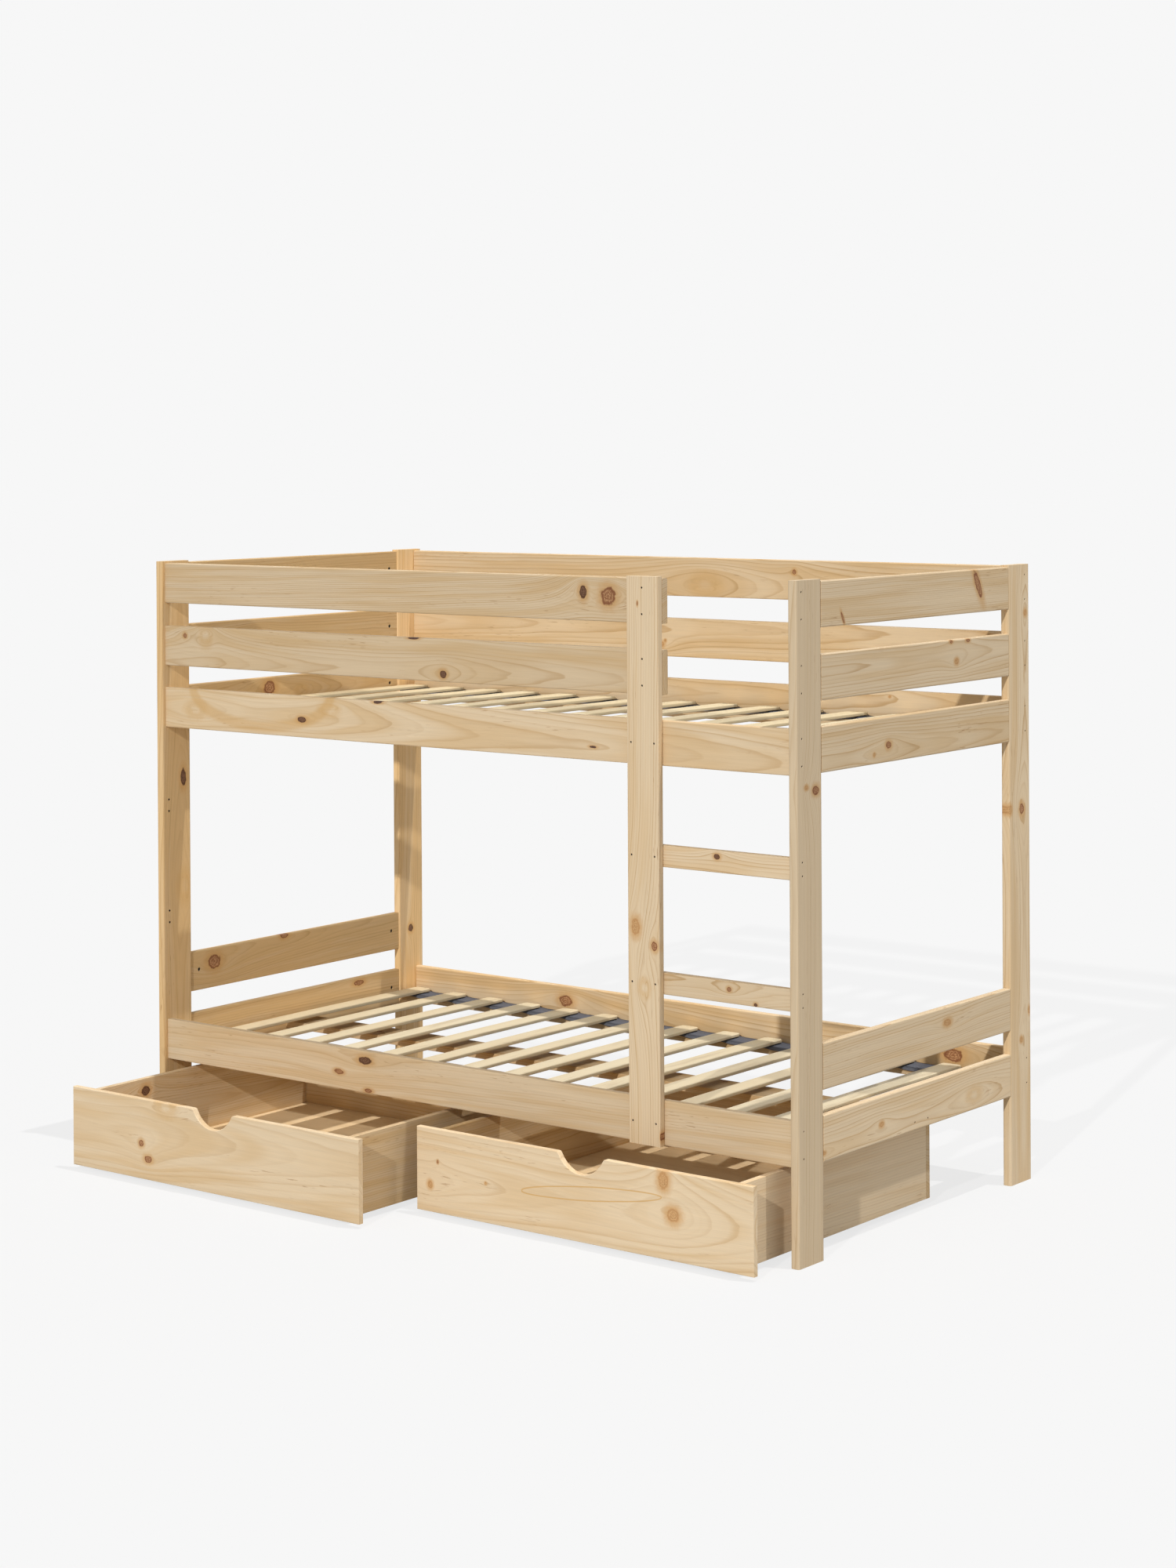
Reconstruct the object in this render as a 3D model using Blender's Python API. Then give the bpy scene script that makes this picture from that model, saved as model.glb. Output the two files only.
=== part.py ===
"""Bunk bed in bare pine with two drawers that roll out from under the lower berth.

The bed's length runs along X, its front faces -Y, and it stands on z = 0.
All sizes are in metres.
"""
import math

import bmesh
import bpy
from mathutils import Matrix, Vector

# The bed as a whole.
LENGTH = 1.960
DEPTH = 0.968
HEIGHT = 1.462
FIT_GAP = 0.0003  # left between pieces that touch
OVERRUN = 0.004  # how far a cut runs out of the face it starts in

# Corner posts: boards on edge, with their long edges rounded.
POST_THICK = 0.022
POST_WIDE = 0.095
POST_ROUND = 0.005

# Rails of the long sides and of the ends.
RAIL_THICK = 0.018
RAIL_HIGH = 0.100
RAIL_ROUND = 0.003
RAIL_SETBACK = 0.011  # the long rails lie behind the posts' front edges by this

# Heights: the upper rails are hung from the posts' tops, the lower ones set from the floor.
GUARD_BELOW_POST = 0.004
GUARD_LOW_BELOW_GUARD = 0.157
UPPER_RAIL_BELOW_GUARD_LOW = 0.155
END_BOARD_ABOVE_RAIL = 0.155
LOWER_RAIL_TOP = 0.311

# Ladder: a post in front of the rails, and rungs between it and the corner post.
LADDER_LEFT_FROM_END = 0.451  # from the bed's right end to the ladder post's far edge
LADDER_WIDE = 0.087
LADDER_THICK = 0.018
RUNG_HIGH = 0.0485
RUNG_SHARES = (0.3365, 0.6719)  # of the way from the lower rail's top to the upper rail's

# Ledgers under the slats, and the beam under the middle of the lower slats.
LEDGER_WIDE = 0.059
LEDGER_THICK = 0.018
LEDGER_DROP = 0.068  # from a bed rail's upper edge down to its ledger's top
BEAM_WIDE = 0.095
BEAM_THICK = 0.018
LEDGER_ROUND = 0.002
BEAM_BELOW_LEDGER = 0.0053

# Slats, joined by two straps into a base that rolls out.
SLAT_COUNT = 15
SLAT_FROM_POST = 0.039  # from the posts' inner faces to the middle of the first slat
SLAT_SIDE_GAP = 0.013  # from a slat's tip to the bed rail
SLAT_WIDE = 0.052
SLAT_THICK = 0.008
SLAT_BOW = 0.002
SLAT_CORNER = 0.007
SLAT_TIP_TURN = math.radians(90)
SLAT_TIP_STEPS = 4
SLAT_SPAN_STEPS = 6
STRAP_WIDE = 0.050
STRAP_THICK = 0.0055  # with the fold that each slat stands on
STRAP_BITE = 0.0006  # how deep a slat's end sits in the strap
STRAP_END_GAP = 0.006

# Drawer box.
DRAWER_SHORT_OF_BED = 0.189  # how much less deep a drawer is than the bed's rails stand apart
FRONT_HIGH = 0.190
FRONT_THICK = 0.015
FRONT_ABOVE_FLOOR = 0.010
FRONT_ROUND = 0.0015
SIDE_INSET = 0.045  # the sides stand in from the front's ends
SIDE_HIGH = 0.180
SIDE_THICK = 0.015
SIDE_LIFT = 0.0045  # the sides' lower edge above the front's lower edge
SIDE_ROUND = 0.001
BACK_THICK = 0.015
PANEL_THICK = 0.004
PANEL_UP = 0.0155  # from the sides' lower edge to the panel's underside
GROOVE_DEEP = 0.006

# Where the drawers stand, and how far they are pulled out.
LEFT_DRAWER_END_GAP = 0.011  # from the left post to the left drawer's front
RIGHT_DRAWER_END_GAP = 0.002  # from the right drawer's front to the right post
DRAWERS_APART = 0.013
LEFT_PULL = 0.322
RIGHT_PULL = 0.1425

# Hand cut-out in a drawer front's upper edge.
CUTOUT_DEEP = 0.0425
CUTOUT_ARC = 0.070
CUTOUT_SHOULDER = 0.008
CUTOUT_OFF_CENTRE = 0.0075
CUTOUT_ARC_STEPS = 12
CUTOUT_SHOULDER_STEPS = 4

# Drawer wheels and their brackets.
WHEEL_RADIUS = 0.012
WHEEL_WIDE = 0.012
WHEEL_RIM_ROUND = 0.002
WHEEL_SIDES = 20
AXLE_RADIUS = 0.002
AXLE_SHOWS = 0.001  # the axle's length outside each ear
EAR_THICK = 0.0015
EAR_GAP = 0.0005  # between the wheel and each ear
EAR_DEEP = 0.014
EAR_BELOW_AXLE = 0.005
PLATE_THICK = 0.0015
PLATE_WIDE = 0.034
WHEEL_FROM_SIDE = 0.030
WHEEL_FROM_FRONT = 0.085
WHEEL_FROM_BACK = 0.085

# Screw holes: a head's recess in the face of the board that the screw goes through.
SCREW_HOLE_RADIUS = 0.0025
SCREW_HOLE_DEEP = 0.006
PILOT_RADIUS = 0.0025
PILOT_DEEP = 0.006
RAIL_SCREW_SPREAD = 0.0585
RUNG_SCREW_SPREAD = 0.029
LADDER_SCREW_IN = 0.0115
BEAM_SCREW_SPREAD = 0.054
DRAWER_SCREW_SPREAD = 0.110
POCKET_RADIUS = 0.005
POCKET_DEEP = 0.010
POCKET_FROM_END = 0.029
POCKET_ABOVE_MIDDLE = 0.003
HOLE_SIDES = 8
ROUND_STEPS = 3
EASE_STEPS = 2
ROUND_SHARE = 0.5  # a bevel's profile share that makes a true round
SMOOTH_UNDER = math.radians(40)

# Finishes: colour, roughness and metallic value.
PINE = ((0.78, 0.60, 0.38, 1.0), 0.62, 0.0)
PALE_PINE = ((0.84, 0.70, 0.49, 1.0), 0.60, 0.0)
SLAT_PINE = ((0.86, 0.74, 0.56, 1.0), 0.58, 0.0)
FIBREBOARD = ((0.62, 0.45, 0.28, 1.0), 0.70, 0.0)
WHEEL_PLASTIC = ((0.10, 0.10, 0.11, 1.0), 0.45, 0.0)
BRACKET_STEEL = ((0.62, 0.63, 0.65, 1.0), 0.35, 1.0)

# Places that several pieces share.
POST_INNER_X = LENGTH / 2 - POST_THICK
POST_INNER_Y = DEPTH / 2 - POST_WIDE
RAIL_OUTER_Y = DEPTH / 2 - RAIL_SETBACK
RAIL_INNER_Y = RAIL_OUTER_Y - RAIL_THICK
RAIL_MIDDLE_Y = RAIL_OUTER_Y - RAIL_THICK / 2
END_INNER_X = LENGTH / 2 - RAIL_THICK
LADDER_LEFT = LENGTH / 2 - LADDER_LEFT_FROM_END
LADDER_RIGHT = LADDER_LEFT + LADDER_WIDE
LADDER_FOOT = LOWER_RAIL_TOP - RAIL_HIGH
GUARD_TOP = HEIGHT - GUARD_BELOW_POST
GUARD_LOW_TOP = GUARD_TOP - GUARD_LOW_BELOW_GUARD
UPPER_RAIL_TOP = GUARD_LOW_TOP - UPPER_RAIL_BELOW_GUARD_LOW
END_BOARD_TOP = LOWER_RAIL_TOP + END_BOARD_ABOVE_RAIL
RUNG_TOPS = [LOWER_RAIL_TOP + share * (UPPER_RAIL_TOP - LOWER_RAIL_TOP) for share in RUNG_SHARES]
LEDGER_TOP = LOWER_RAIL_TOP - LEDGER_DROP
STRAP_MIDDLE_Y = RAIL_INNER_Y - LEDGER_WIDE / 2
FIRST_SLAT_X = SLAT_FROM_POST - POST_INNER_X
SLAT_PITCH = -2 * FIRST_SLAT_X / (SLAT_COUNT - 1)
SLAT_LONG = 2 * (RAIL_INNER_Y - SLAT_SIDE_GAP)
SLAT_UNDER = LEDGER_TOP + FIT_GAP + STRAP_THICK - STRAP_BITE
BEAM_TOP = LEDGER_TOP - BEAM_BELOW_LEDGER
REST_FRONT_Y = -RAIL_OUTER_Y - LEFT_PULL  # the foremost face of the whole piece
DRAWER_WIDE = POST_INNER_X - (LEFT_DRAWER_END_GAP + RIGHT_DRAWER_END_GAP + DRAWERS_APART) / 2
DRAWER_DEEP = 2 * RAIL_OUTER_Y - DRAWER_SHORT_OF_BED
SIDE_FOOT = FRONT_ABOVE_FLOOR + SIDE_LIFT
PANEL_UNDER = SIDE_FOOT + PANEL_UP
BACK_Y = DRAWER_DEEP - BACK_THICK  # a drawer's depth is counted from its front face
BOX_OUTER_X = DRAWER_WIDE / 2 - SIDE_INSET
BOX_INNER_X = BOX_OUTER_X - SIDE_THICK

LONG_RAIL_TOPS = (LOWER_RAIL_TOP, UPPER_RAIL_TOP, GUARD_LOW_TOP, GUARD_TOP)
ENDS = (("left", -1), ("right", 1))
BERTHS = (("lower", 0), ("upper", UPPER_RAIL_TOP - LOWER_RAIL_TOP))
END_RAILS = (
    ("lower", LOWER_RAIL_TOP),
    ("board", END_BOARD_TOP),
    ("upper", UPPER_RAIL_TOP),
    ("guard_low", GUARD_LOW_TOP),
    ("guard_top", GUARD_TOP),
)


def clear_scene():
    for old in list(bpy.data.objects):
        bpy.data.objects.remove(old, do_unlink=True)


def add_material(obj, look):
    colour, roughness, metallic = look
    material = bpy.data.materials.new(obj.name)
    material.use_nodes = True
    material.diffuse_color = colour
    shader = material.node_tree.nodes["Principled BSDF"]
    shader.inputs["Base Color"].default_value = colour
    shader.inputs["Roughness"].default_value = roughness
    shader.inputs["Metallic"].default_value = metallic
    obj.data.materials.append(material)


def add_object(name, shape, parent, place=(0, 0, 0)):
    """Turns a bmesh into a linked object that hangs on its parent."""
    mesh = bpy.data.meshes.new(name)
    bmesh.ops.recalc_face_normals(shape, faces=shape.faces)
    shape.to_mesh(mesh)
    shape.free()
    obj = bpy.data.objects.new(name, mesh)
    bpy.context.scene.collection.objects.link(obj)
    obj.parent = parent
    obj.location = place
    return obj


def add_empty(name, place, parent=None):
    empty = bpy.data.objects.new(name, None)
    bpy.context.scene.collection.objects.link(empty)
    empty.location = place
    empty.parent = parent
    return empty


def add_box(shape, low, high):
    """Adds a box between two opposite corners to a bmesh."""
    low = Vector(low)
    high = Vector(high)
    spread = Matrix.Diagonal((*(high - low), 1.0))
    bmesh.ops.create_cube(shape, size=1.0, matrix=Matrix.Translation((low + high) / 2) @ spread)


def ease(shape, edges, radius, steps):
    """Rounds some edges of a bmesh."""
    bmesh.ops.bevel(shape, geom=edges, offset=radius, segments=steps, profile=ROUND_SHARE, affect="EDGES")


def round_long_edges(shape, along, radius):
    """Rounds the edges that run the whole length of a board."""
    edges = []
    for edge in shape.edges:
        run = [abs(part) for part in edge.verts[1].co - edge.verts[0].co]
        if run[along] == max(run):
            edges.append(edge)
    ease(shape, edges, radius, ROUND_STEPS)


def board(name, low, high, along, radius, look, parent):
    """A board between two corners, with the edges along one axis rounded."""
    low = Vector(low)
    high = Vector(high)
    middle = (low + high) / 2
    shape = bmesh.new()
    add_box(shape, low - middle, high - middle)
    round_long_edges(shape, along, radius)
    obj = add_object(name, shape, parent, middle)
    add_material(obj, look)
    return obj


def cut_with(obj, name, shape):
    """Takes a shape, given in the parent's frame, out of an object."""
    cutter = add_object(name, shape, obj.parent)
    cutter.hide_render = True
    cutter.display_type = "WIRE"
    cut = obj.modifiers.new(name, "BOOLEAN")
    cut.operation = "DIFFERENCE"
    cut.object = cutter


def add_holes(shape, mouths, inward, radius, deep):
    """Adds cutters for blind round holes, each from its mouth on a face."""
    inward = Vector(inward)
    turn = inward.to_track_quat("Z", "Y").to_matrix().to_4x4()
    for mouth in mouths:
        middle = Vector(mouth) + inward * (deep - OVERRUN) / 2
        bmesh.ops.create_cone(
            shape,
            cap_ends=True,
            segments=HOLE_SIDES,
            radius1=radius,
            radius2=radius,
            depth=deep + OVERRUN,
            matrix=Matrix.Translation(middle) @ turn,
        )


def about(middle, spread):
    """Two places that lie evenly about a middle."""
    return (middle - spread / 2, middle + spread / 2)


def rail_screw_heights(top):
    return about(top - RAIL_HIGH / 2, RAIL_SCREW_SPREAD)


def rung_screw_heights(top):
    return about(top - RUNG_HIGH / 2, RUNG_SCREW_SPREAD)


def make_posts(bed):
    """Four corner posts, with a screw hole in the outer face for each rail screw."""
    rail_screws = [z for top in LONG_RAIL_TOPS for z in rail_screw_heights(top)]
    rung_screws = [z for top in RUNG_TOPS for z in rung_screw_heights(top)]
    for end_name, end in ENDS:
        for row_name, row in (("front", -1), ("rear", 1)):
            x_span = sorted((end * LENGTH / 2, end * POST_INNER_X))
            y_span = sorted((row * DEPTH / 2, row * POST_INNER_Y))
            low = (x_span[0], y_span[0], 0)
            high = (x_span[1], y_span[1], HEIGHT)
            post = board(f"post_{row_name}_{end_name}", low, high, 2, POST_ROUND, PINE, bed)
            holes = bmesh.new()
            heights = list(rail_screws)
            if row_name == "front" and end_name == "right":
                heights += rung_screws
            mouths = [(end * LENGTH / 2, row * RAIL_MIDDLE_Y, z) for z in heights]
            add_holes(holes, mouths, (-end, 0, 0), SCREW_HOLE_RADIUS, SCREW_HOLE_DEEP)
            if row_name == "front" and end_name == "left":
                # This post is drilled inside as well, so the ladder can go at either end.
                spare = [(end * POST_INNER_X, row * RAIL_MIDDLE_Y, z) for z in rung_screws]
                add_holes(holes, spare, (end, 0, 0), PILOT_RADIUS, PILOT_DEEP)
            cut_with(post, post.name + "_holes", holes)


def long_rail(name, row, top, bed, right_end=POST_INNER_X - FIT_GAP):
    """A rail of a long side, from the left posts to the right ones or to the ladder."""
    y_span = sorted((row * RAIL_OUTER_Y, row * RAIL_INNER_Y))
    low = (-POST_INNER_X + FIT_GAP, y_span[0], top - RAIL_HIGH)
    board(name, low, (right_end, y_span[1], top), 0, RAIL_ROUND, PINE, bed)


def make_long_rails(bed):
    long_rail("rail_front_lower", -1, LOWER_RAIL_TOP, bed)
    long_rail("rail_front_upper", -1, UPPER_RAIL_TOP, bed)
    long_rail("guard_front_low", -1, GUARD_LOW_TOP, bed, LADDER_RIGHT)
    long_rail("guard_front_top", -1, GUARD_TOP, bed, LADDER_RIGHT)
    long_rail("rail_rear_lower", 1, LOWER_RAIL_TOP, bed)
    long_rail("rail_rear_upper", 1, UPPER_RAIL_TOP, bed)
    long_rail("guard_rear_low", 1, GUARD_LOW_TOP, bed)
    long_rail("guard_rear_top", 1, GUARD_TOP, bed)


def make_end_rails(bed):
    """Five rails at each end, between the posts and flush with their outer faces."""
    reach = POST_INNER_Y - FIT_GAP
    for end_name, end in ENDS:
        x_span = sorted((end * LENGTH / 2, end * END_INNER_X))
        for level, top in END_RAILS:
            low = (x_span[0], -reach, top - RAIL_HIGH)
            high = (x_span[1], reach, top)
            rail = board(f"end_{end_name}_{level}", low, high, 1, RAIL_ROUND, PINE, bed)
            holes = bmesh.new()
            pocket_z = top - RAIL_HIGH / 2 + POCKET_ABOVE_MIDDLE
            pocket_y = POST_INNER_Y - POCKET_FROM_END
            pockets = [(end * END_INNER_X, side * pocket_y, pocket_z) for side in (-1, 1)]
            add_holes(holes, pockets, (end, 0, 0), POCKET_RADIUS, POCKET_DEEP)
            if level == "lower":
                beam_z = BEAM_TOP - BEAM_THICK / 2
                screws = [(end * LENGTH / 2, y, beam_z) for y in about(0, BEAM_SCREW_SPREAD)]
                add_holes(holes, screws, (-end, 0, 0), SCREW_HOLE_RADIUS, SCREW_HOLE_DEEP)
            cut_with(rail, rail.name + "_holes", holes)


def make_ladder(bed):
    """A post screwed to the front of the rails, and rungs from it to the corner post."""
    rear = -RAIL_OUTER_Y - FIT_GAP
    front = rear - LADDER_THICK
    low = (LADDER_LEFT, front, LADDER_FOOT)
    post = board("ladder_post", low, (LADDER_RIGHT, rear, HEIGHT), 2, RAIL_ROUND, PINE, bed)
    mouths = []
    for top in (GUARD_LOW_TOP, GUARD_TOP):
        mouths += [(LADDER_LEFT + LADDER_WIDE / 2, front, z) for z in rail_screw_heights(top)]
    middles = [top - RUNG_HIGH / 2 for top in RUNG_TOPS]
    middles += [top - RAIL_HIGH / 2 for top in (LOWER_RAIL_TOP, UPPER_RAIL_TOP)]
    for middle in middles:
        mouths.append((LADDER_LEFT + LADDER_SCREW_IN, front, middle))
        mouths.append((LADDER_RIGHT - LADDER_SCREW_IN, front, middle))
    holes = bmesh.new()
    add_holes(holes, mouths, (0, 1, 0), SCREW_HOLE_RADIUS, SCREW_HOLE_DEEP)
    cut_with(post, "ladder_post_holes", holes)
    for name, top in zip(("rung_lower", "rung_upper"), RUNG_TOPS):
        low = (LADDER_LEFT, -RAIL_OUTER_Y, top - RUNG_HIGH)
        high = (POST_INNER_X - FIT_GAP, -RAIL_INNER_Y, top)
        board(name, low, high, 0, RAIL_ROUND, PINE, bed)


def make_ledgers(bed):
    """Battens inside the bed rails, and the beam between the lower end rails."""
    reach = POST_INNER_X - FIT_GAP
    for level, lift in BERTHS:
        for row_name, row in (("front", -1), ("rear", 1)):
            outer = RAIL_INNER_Y - FIT_GAP
            y_span = sorted((row * outer, row * (outer - LEDGER_WIDE)))
            top = LEDGER_TOP + lift
            low = (-reach, y_span[0], top - LEDGER_THICK)
            high = (reach, y_span[1], top)
            board(f"ledger_{level}_{row_name}", low, high, 0, LEDGER_ROUND, PINE, bed)
    reach = END_INNER_X - FIT_GAP
    low = (-reach, -BEAM_WIDE / 2, BEAM_TOP - BEAM_THICK)
    board("centre_beam", low, (reach, BEAM_WIDE / 2, BEAM_TOP), 0, LEDGER_ROUND, PINE, bed)


def slat_stations():
    """Places along a slat, counted from its middle, and the half width at each."""
    widest = SLAT_WIDE / 2
    shoulder = SLAT_LONG / 2 - SLAT_CORNER
    stations = []
    for step in range(SLAT_SPAN_STEPS + 1):
        stations.append((-shoulder + 2 * shoulder * step / SLAT_SPAN_STEPS, widest))
    for step in range(1, SLAT_TIP_STEPS + 1):
        turn = SLAT_TIP_TURN * step / SLAT_TIP_STEPS
        place = shoulder + SLAT_CORNER * math.sin(turn)
        half = widest - SLAT_CORNER * (1 - math.cos(turn))
        stations.append((place, half))
        stations.insert(0, (-place, half))
    return stations


def add_slat(shape, x):
    """A thin slat across the bed, with round corners, bowed slightly upwards."""
    rings = []
    for y, half in slat_stations():
        under = SLAT_BOW * (1 - (2 * y / SLAT_LONG) ** 2)
        corners = (
            (x - half, y, under),
            (x + half, y, under),
            (x + half, y, under + SLAT_THICK),
            (x - half, y, under + SLAT_THICK),
        )
        rings.append([shape.verts.new(corner) for corner in corners])
    for ring, following in zip(rings, rings[1:]):
        for side in range(len(ring)):
            after = (side + 1) % len(ring)
            shape.faces.new((ring[side], ring[after], following[after], following[side]))
    shape.faces.new(rings[0])
    shape.faces.new(rings[-1])


def make_slat_bases(bed):
    """Each berth's slats, joined by a strap along each ledger."""
    strap_reach = POST_INNER_X - FIT_GAP - STRAP_END_GAP
    for level, lift in BERTHS:
        slats = bmesh.new()
        for index in range(SLAT_COUNT):
            add_slat(slats, FIRST_SLAT_X + index * SLAT_PITCH)
        base = add_object(f"slat_base_{level}", slats, bed, (0, 0, SLAT_UNDER + lift))
        add_material(base, SLAT_PINE)
        straps = bmesh.new()
        for row in (-1, 1):
            y_low, y_high = about(row * STRAP_MIDDLE_Y, STRAP_WIDE)
            foot = STRAP_BITE - STRAP_THICK
            add_box(straps, (-strap_reach, y_low, foot), (strap_reach, y_high, STRAP_BITE))
        strap_object = add_object(base.name + "_straps", straps, bed, base.location)
        strap_object.hide_render = True
        strap_object.display_type = "WIRE"
        join = base.modifiers.new("straps", "BOOLEAN")
        join.operation = "UNION"
        join.object = strap_object


def arc(centre, radius, start, end, steps):
    """Points on an arc, from one angle to another."""
    points = []
    for step in range(steps + 1):
        turn = start + (end - start) * step / steps
        points.append((centre[0] + radius * math.cos(turn), centre[1] + radius * math.sin(turn)))
    return points


def front_outline():
    """A drawer front seen from outside, from its lower left corner: X and Z."""
    half = DRAWER_WIDE / 2
    dip_z = FRONT_HIGH - CUTOUT_DEEP + CUTOUT_ARC
    shoulder_z = FRONT_HIGH - CUTOUT_SHOULDER
    reach = CUTOUT_ARC + CUTOUT_SHOULDER
    lean = math.asin((dip_z - shoulder_z) / reach)
    shoulder_x = reach * math.cos(lean)
    middle = CUTOUT_OFF_CENTRE
    steps = CUTOUT_SHOULDER_STEPS
    right = arc((middle + shoulder_x, shoulder_z), CUTOUT_SHOULDER, math.pi / 2, math.pi - lean, steps)
    dip = arc((middle, dip_z), CUTOUT_ARC, -lean, lean - math.pi, CUTOUT_ARC_STEPS)
    left = arc((middle - shoulder_x, shoulder_z), CUTOUT_SHOULDER, lean, math.pi / 2, steps)
    edge = right + dip[1:-1] + left
    return [(-half, 0), (half, 0), (half, FRONT_HIGH), *edge, (-half, FRONT_HIGH)]


def make_front(name, drawer):
    """A drawer front with a hand cut-out, eased edges and a groove for the bottom panel."""
    shape = bmesh.new()
    outline = [shape.verts.new((x, 0, FRONT_ABOVE_FLOOR + z)) for x, z in front_outline()]
    face = shape.faces.new(outline)
    pushed = bmesh.ops.extrude_face_region(shape, geom=[face])
    moved = [item for item in pushed["geom"] if isinstance(item, bmesh.types.BMVert)]
    bmesh.ops.translate(shape, verts=moved, vec=(0, FRONT_THICK, 0))
    shape.normal_update()
    rims = [edge for edge in shape.edges if abs(edge.verts[0].co.y - edge.verts[1].co.y) < FRONT_THICK / 2]
    ease(shape, rims, FRONT_ROUND, EASE_STEPS)
    front = add_object(name + "_front", shape, drawer)
    add_material(front, PALE_PINE)
    groove = bmesh.new()
    reach = BOX_INNER_X + GROOVE_DEEP
    low = (-reach, FRONT_THICK - GROOVE_DEEP, PANEL_UNDER - FIT_GAP)
    add_box(groove, low, (reach, FRONT_THICK + OVERRUN, PANEL_UNDER + PANEL_THICK + FIT_GAP))
    cut_with(front, front.name + "_groove", groove)


def make_sides(name, drawer):
    """The drawer's two sides, grooved for the bottom panel."""
    for side_name, side in ENDS:
        x_span = sorted((side * BOX_OUTER_X, side * BOX_INNER_X))
        low = (x_span[0], FRONT_THICK + FIT_GAP, SIDE_FOOT)
        high = (x_span[1], BACK_Y - FIT_GAP, SIDE_FOOT + SIDE_HIGH)
        wall = board(f"{name}_side_{side_name}", low, high, 1, SIDE_ROUND, PINE, drawer)
        groove = bmesh.new()
        x_span = sorted((side * (BOX_INNER_X - OVERRUN), side * (BOX_INNER_X + GROOVE_DEEP)))
        low = (x_span[0], 0, PANEL_UNDER - FIT_GAP)
        high = (x_span[1], DRAWER_DEEP, PANEL_UNDER + PANEL_THICK + FIT_GAP)
        add_box(groove, low, high)
        cut_with(wall, wall.name + "_groove", groove)


def make_back(name, drawer):
    """The drawer's back, over the ends of the sides, with its groove and screw holes."""
    low = (-BOX_OUTER_X, BACK_Y, SIDE_FOOT)
    high = (BOX_OUTER_X, DRAWER_DEEP, SIDE_FOOT + SIDE_HIGH)
    back = board(name + "_back", low, high, 0, SIDE_ROUND, PINE, drawer)
    groove = bmesh.new()
    reach = BOX_INNER_X + GROOVE_DEEP
    low = (-reach, BACK_Y - OVERRUN, PANEL_UNDER - FIT_GAP)
    high = (reach, BACK_Y + GROOVE_DEEP, PANEL_UNDER + PANEL_THICK + FIT_GAP)
    add_box(groove, low, high)
    cut_with(back, back.name + "_groove", groove)
    mouths = []
    for x in about(0, 2 * BOX_OUTER_X - SIDE_THICK):
        mouths += [(x, DRAWER_DEEP, z) for z in about(SIDE_FOOT + SIDE_HIGH / 2, DRAWER_SCREW_SPREAD)]
    holes = bmesh.new()
    add_holes(holes, mouths, (0, -1, 0), SCREW_HOLE_RADIUS, SCREW_HOLE_DEEP)
    cut_with(back, back.name + "_holes", holes)


def make_bottom(name, drawer):
    """A thin panel whose edges lie in the grooves."""
    into = GROOVE_DEEP - FIT_GAP
    low = Vector((-BOX_INNER_X - into, FRONT_THICK - into, PANEL_UNDER))
    high = Vector((BOX_INNER_X + into, BACK_Y + into, PANEL_UNDER + PANEL_THICK))
    middle = (low + high) / 2
    shape = bmesh.new()
    add_box(shape, low - middle, high - middle)
    panel = add_object(name + "_bottom", shape, drawer, middle)
    add_material(panel, FIBREBOARD)


def turned_wheel():
    """A wheel with its axle, turned about X from half of its outline."""
    half = WHEEL_WIDE / 2
    tip = half + EAR_GAP + EAR_THICK + AXLE_SHOWS
    outline = [
        (-tip, AXLE_RADIUS),
        (-half, AXLE_RADIUS),
        (-half, WHEEL_RADIUS - WHEEL_RIM_ROUND),
        (WHEEL_RIM_ROUND - half, WHEEL_RADIUS),
        (half - WHEEL_RIM_ROUND, WHEEL_RADIUS),
        (half, WHEEL_RADIUS - WHEEL_RIM_ROUND),
        (half, AXLE_RADIUS),
        (tip, AXLE_RADIUS),
    ]
    shape = bmesh.new()
    rings = []
    for x, radius in outline:
        ring = []
        for side in range(WHEEL_SIDES):
            turn = 2 * math.pi * side / WHEEL_SIDES
            ring.append(shape.verts.new((x, radius * math.sin(turn), -radius * math.cos(turn))))
        rings.append(ring)
    for ring, following in zip(rings, rings[1:]):
        for side in range(WHEEL_SIDES):
            after = (side + 1) % WHEEL_SIDES
            shape.faces.new((ring[side], ring[after], following[after], following[side]))
    shape.faces.new(rings[0])
    shape.faces.new(rings[-1])
    return shape


def bracket_shape():
    """A plate under the bottom panel with two ears, seen from the wheel's axle."""
    inner = WHEEL_WIDE / 2 + EAR_GAP
    outer = inner + EAR_THICK
    top = PANEL_UNDER - FIT_GAP - WHEEL_RADIUS
    under = top - PLATE_THICK
    foot = -EAR_BELOW_AXLE
    half = PLATE_WIDE / 2
    outline = (
        (-half, top),
        (-half, under),
        (-outer, under),
        (-outer, foot),
        (-inner, foot),
        (-inner, under),
        (inner, under),
        (inner, foot),
        (outer, foot),
        (outer, under),
        (half, under),
        (half, top),
    )
    shape = bmesh.new()
    face = shape.faces.new([shape.verts.new((x, -EAR_DEEP / 2, z)) for x, z in outline])
    pushed = bmesh.ops.extrude_face_region(shape, geom=[face])
    moved = [item for item in pushed["geom"] if isinstance(item, bmesh.types.BMVert)]
    bmesh.ops.translate(shape, verts=moved, vec=(0, EAR_DEEP, 0))
    return shape


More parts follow.
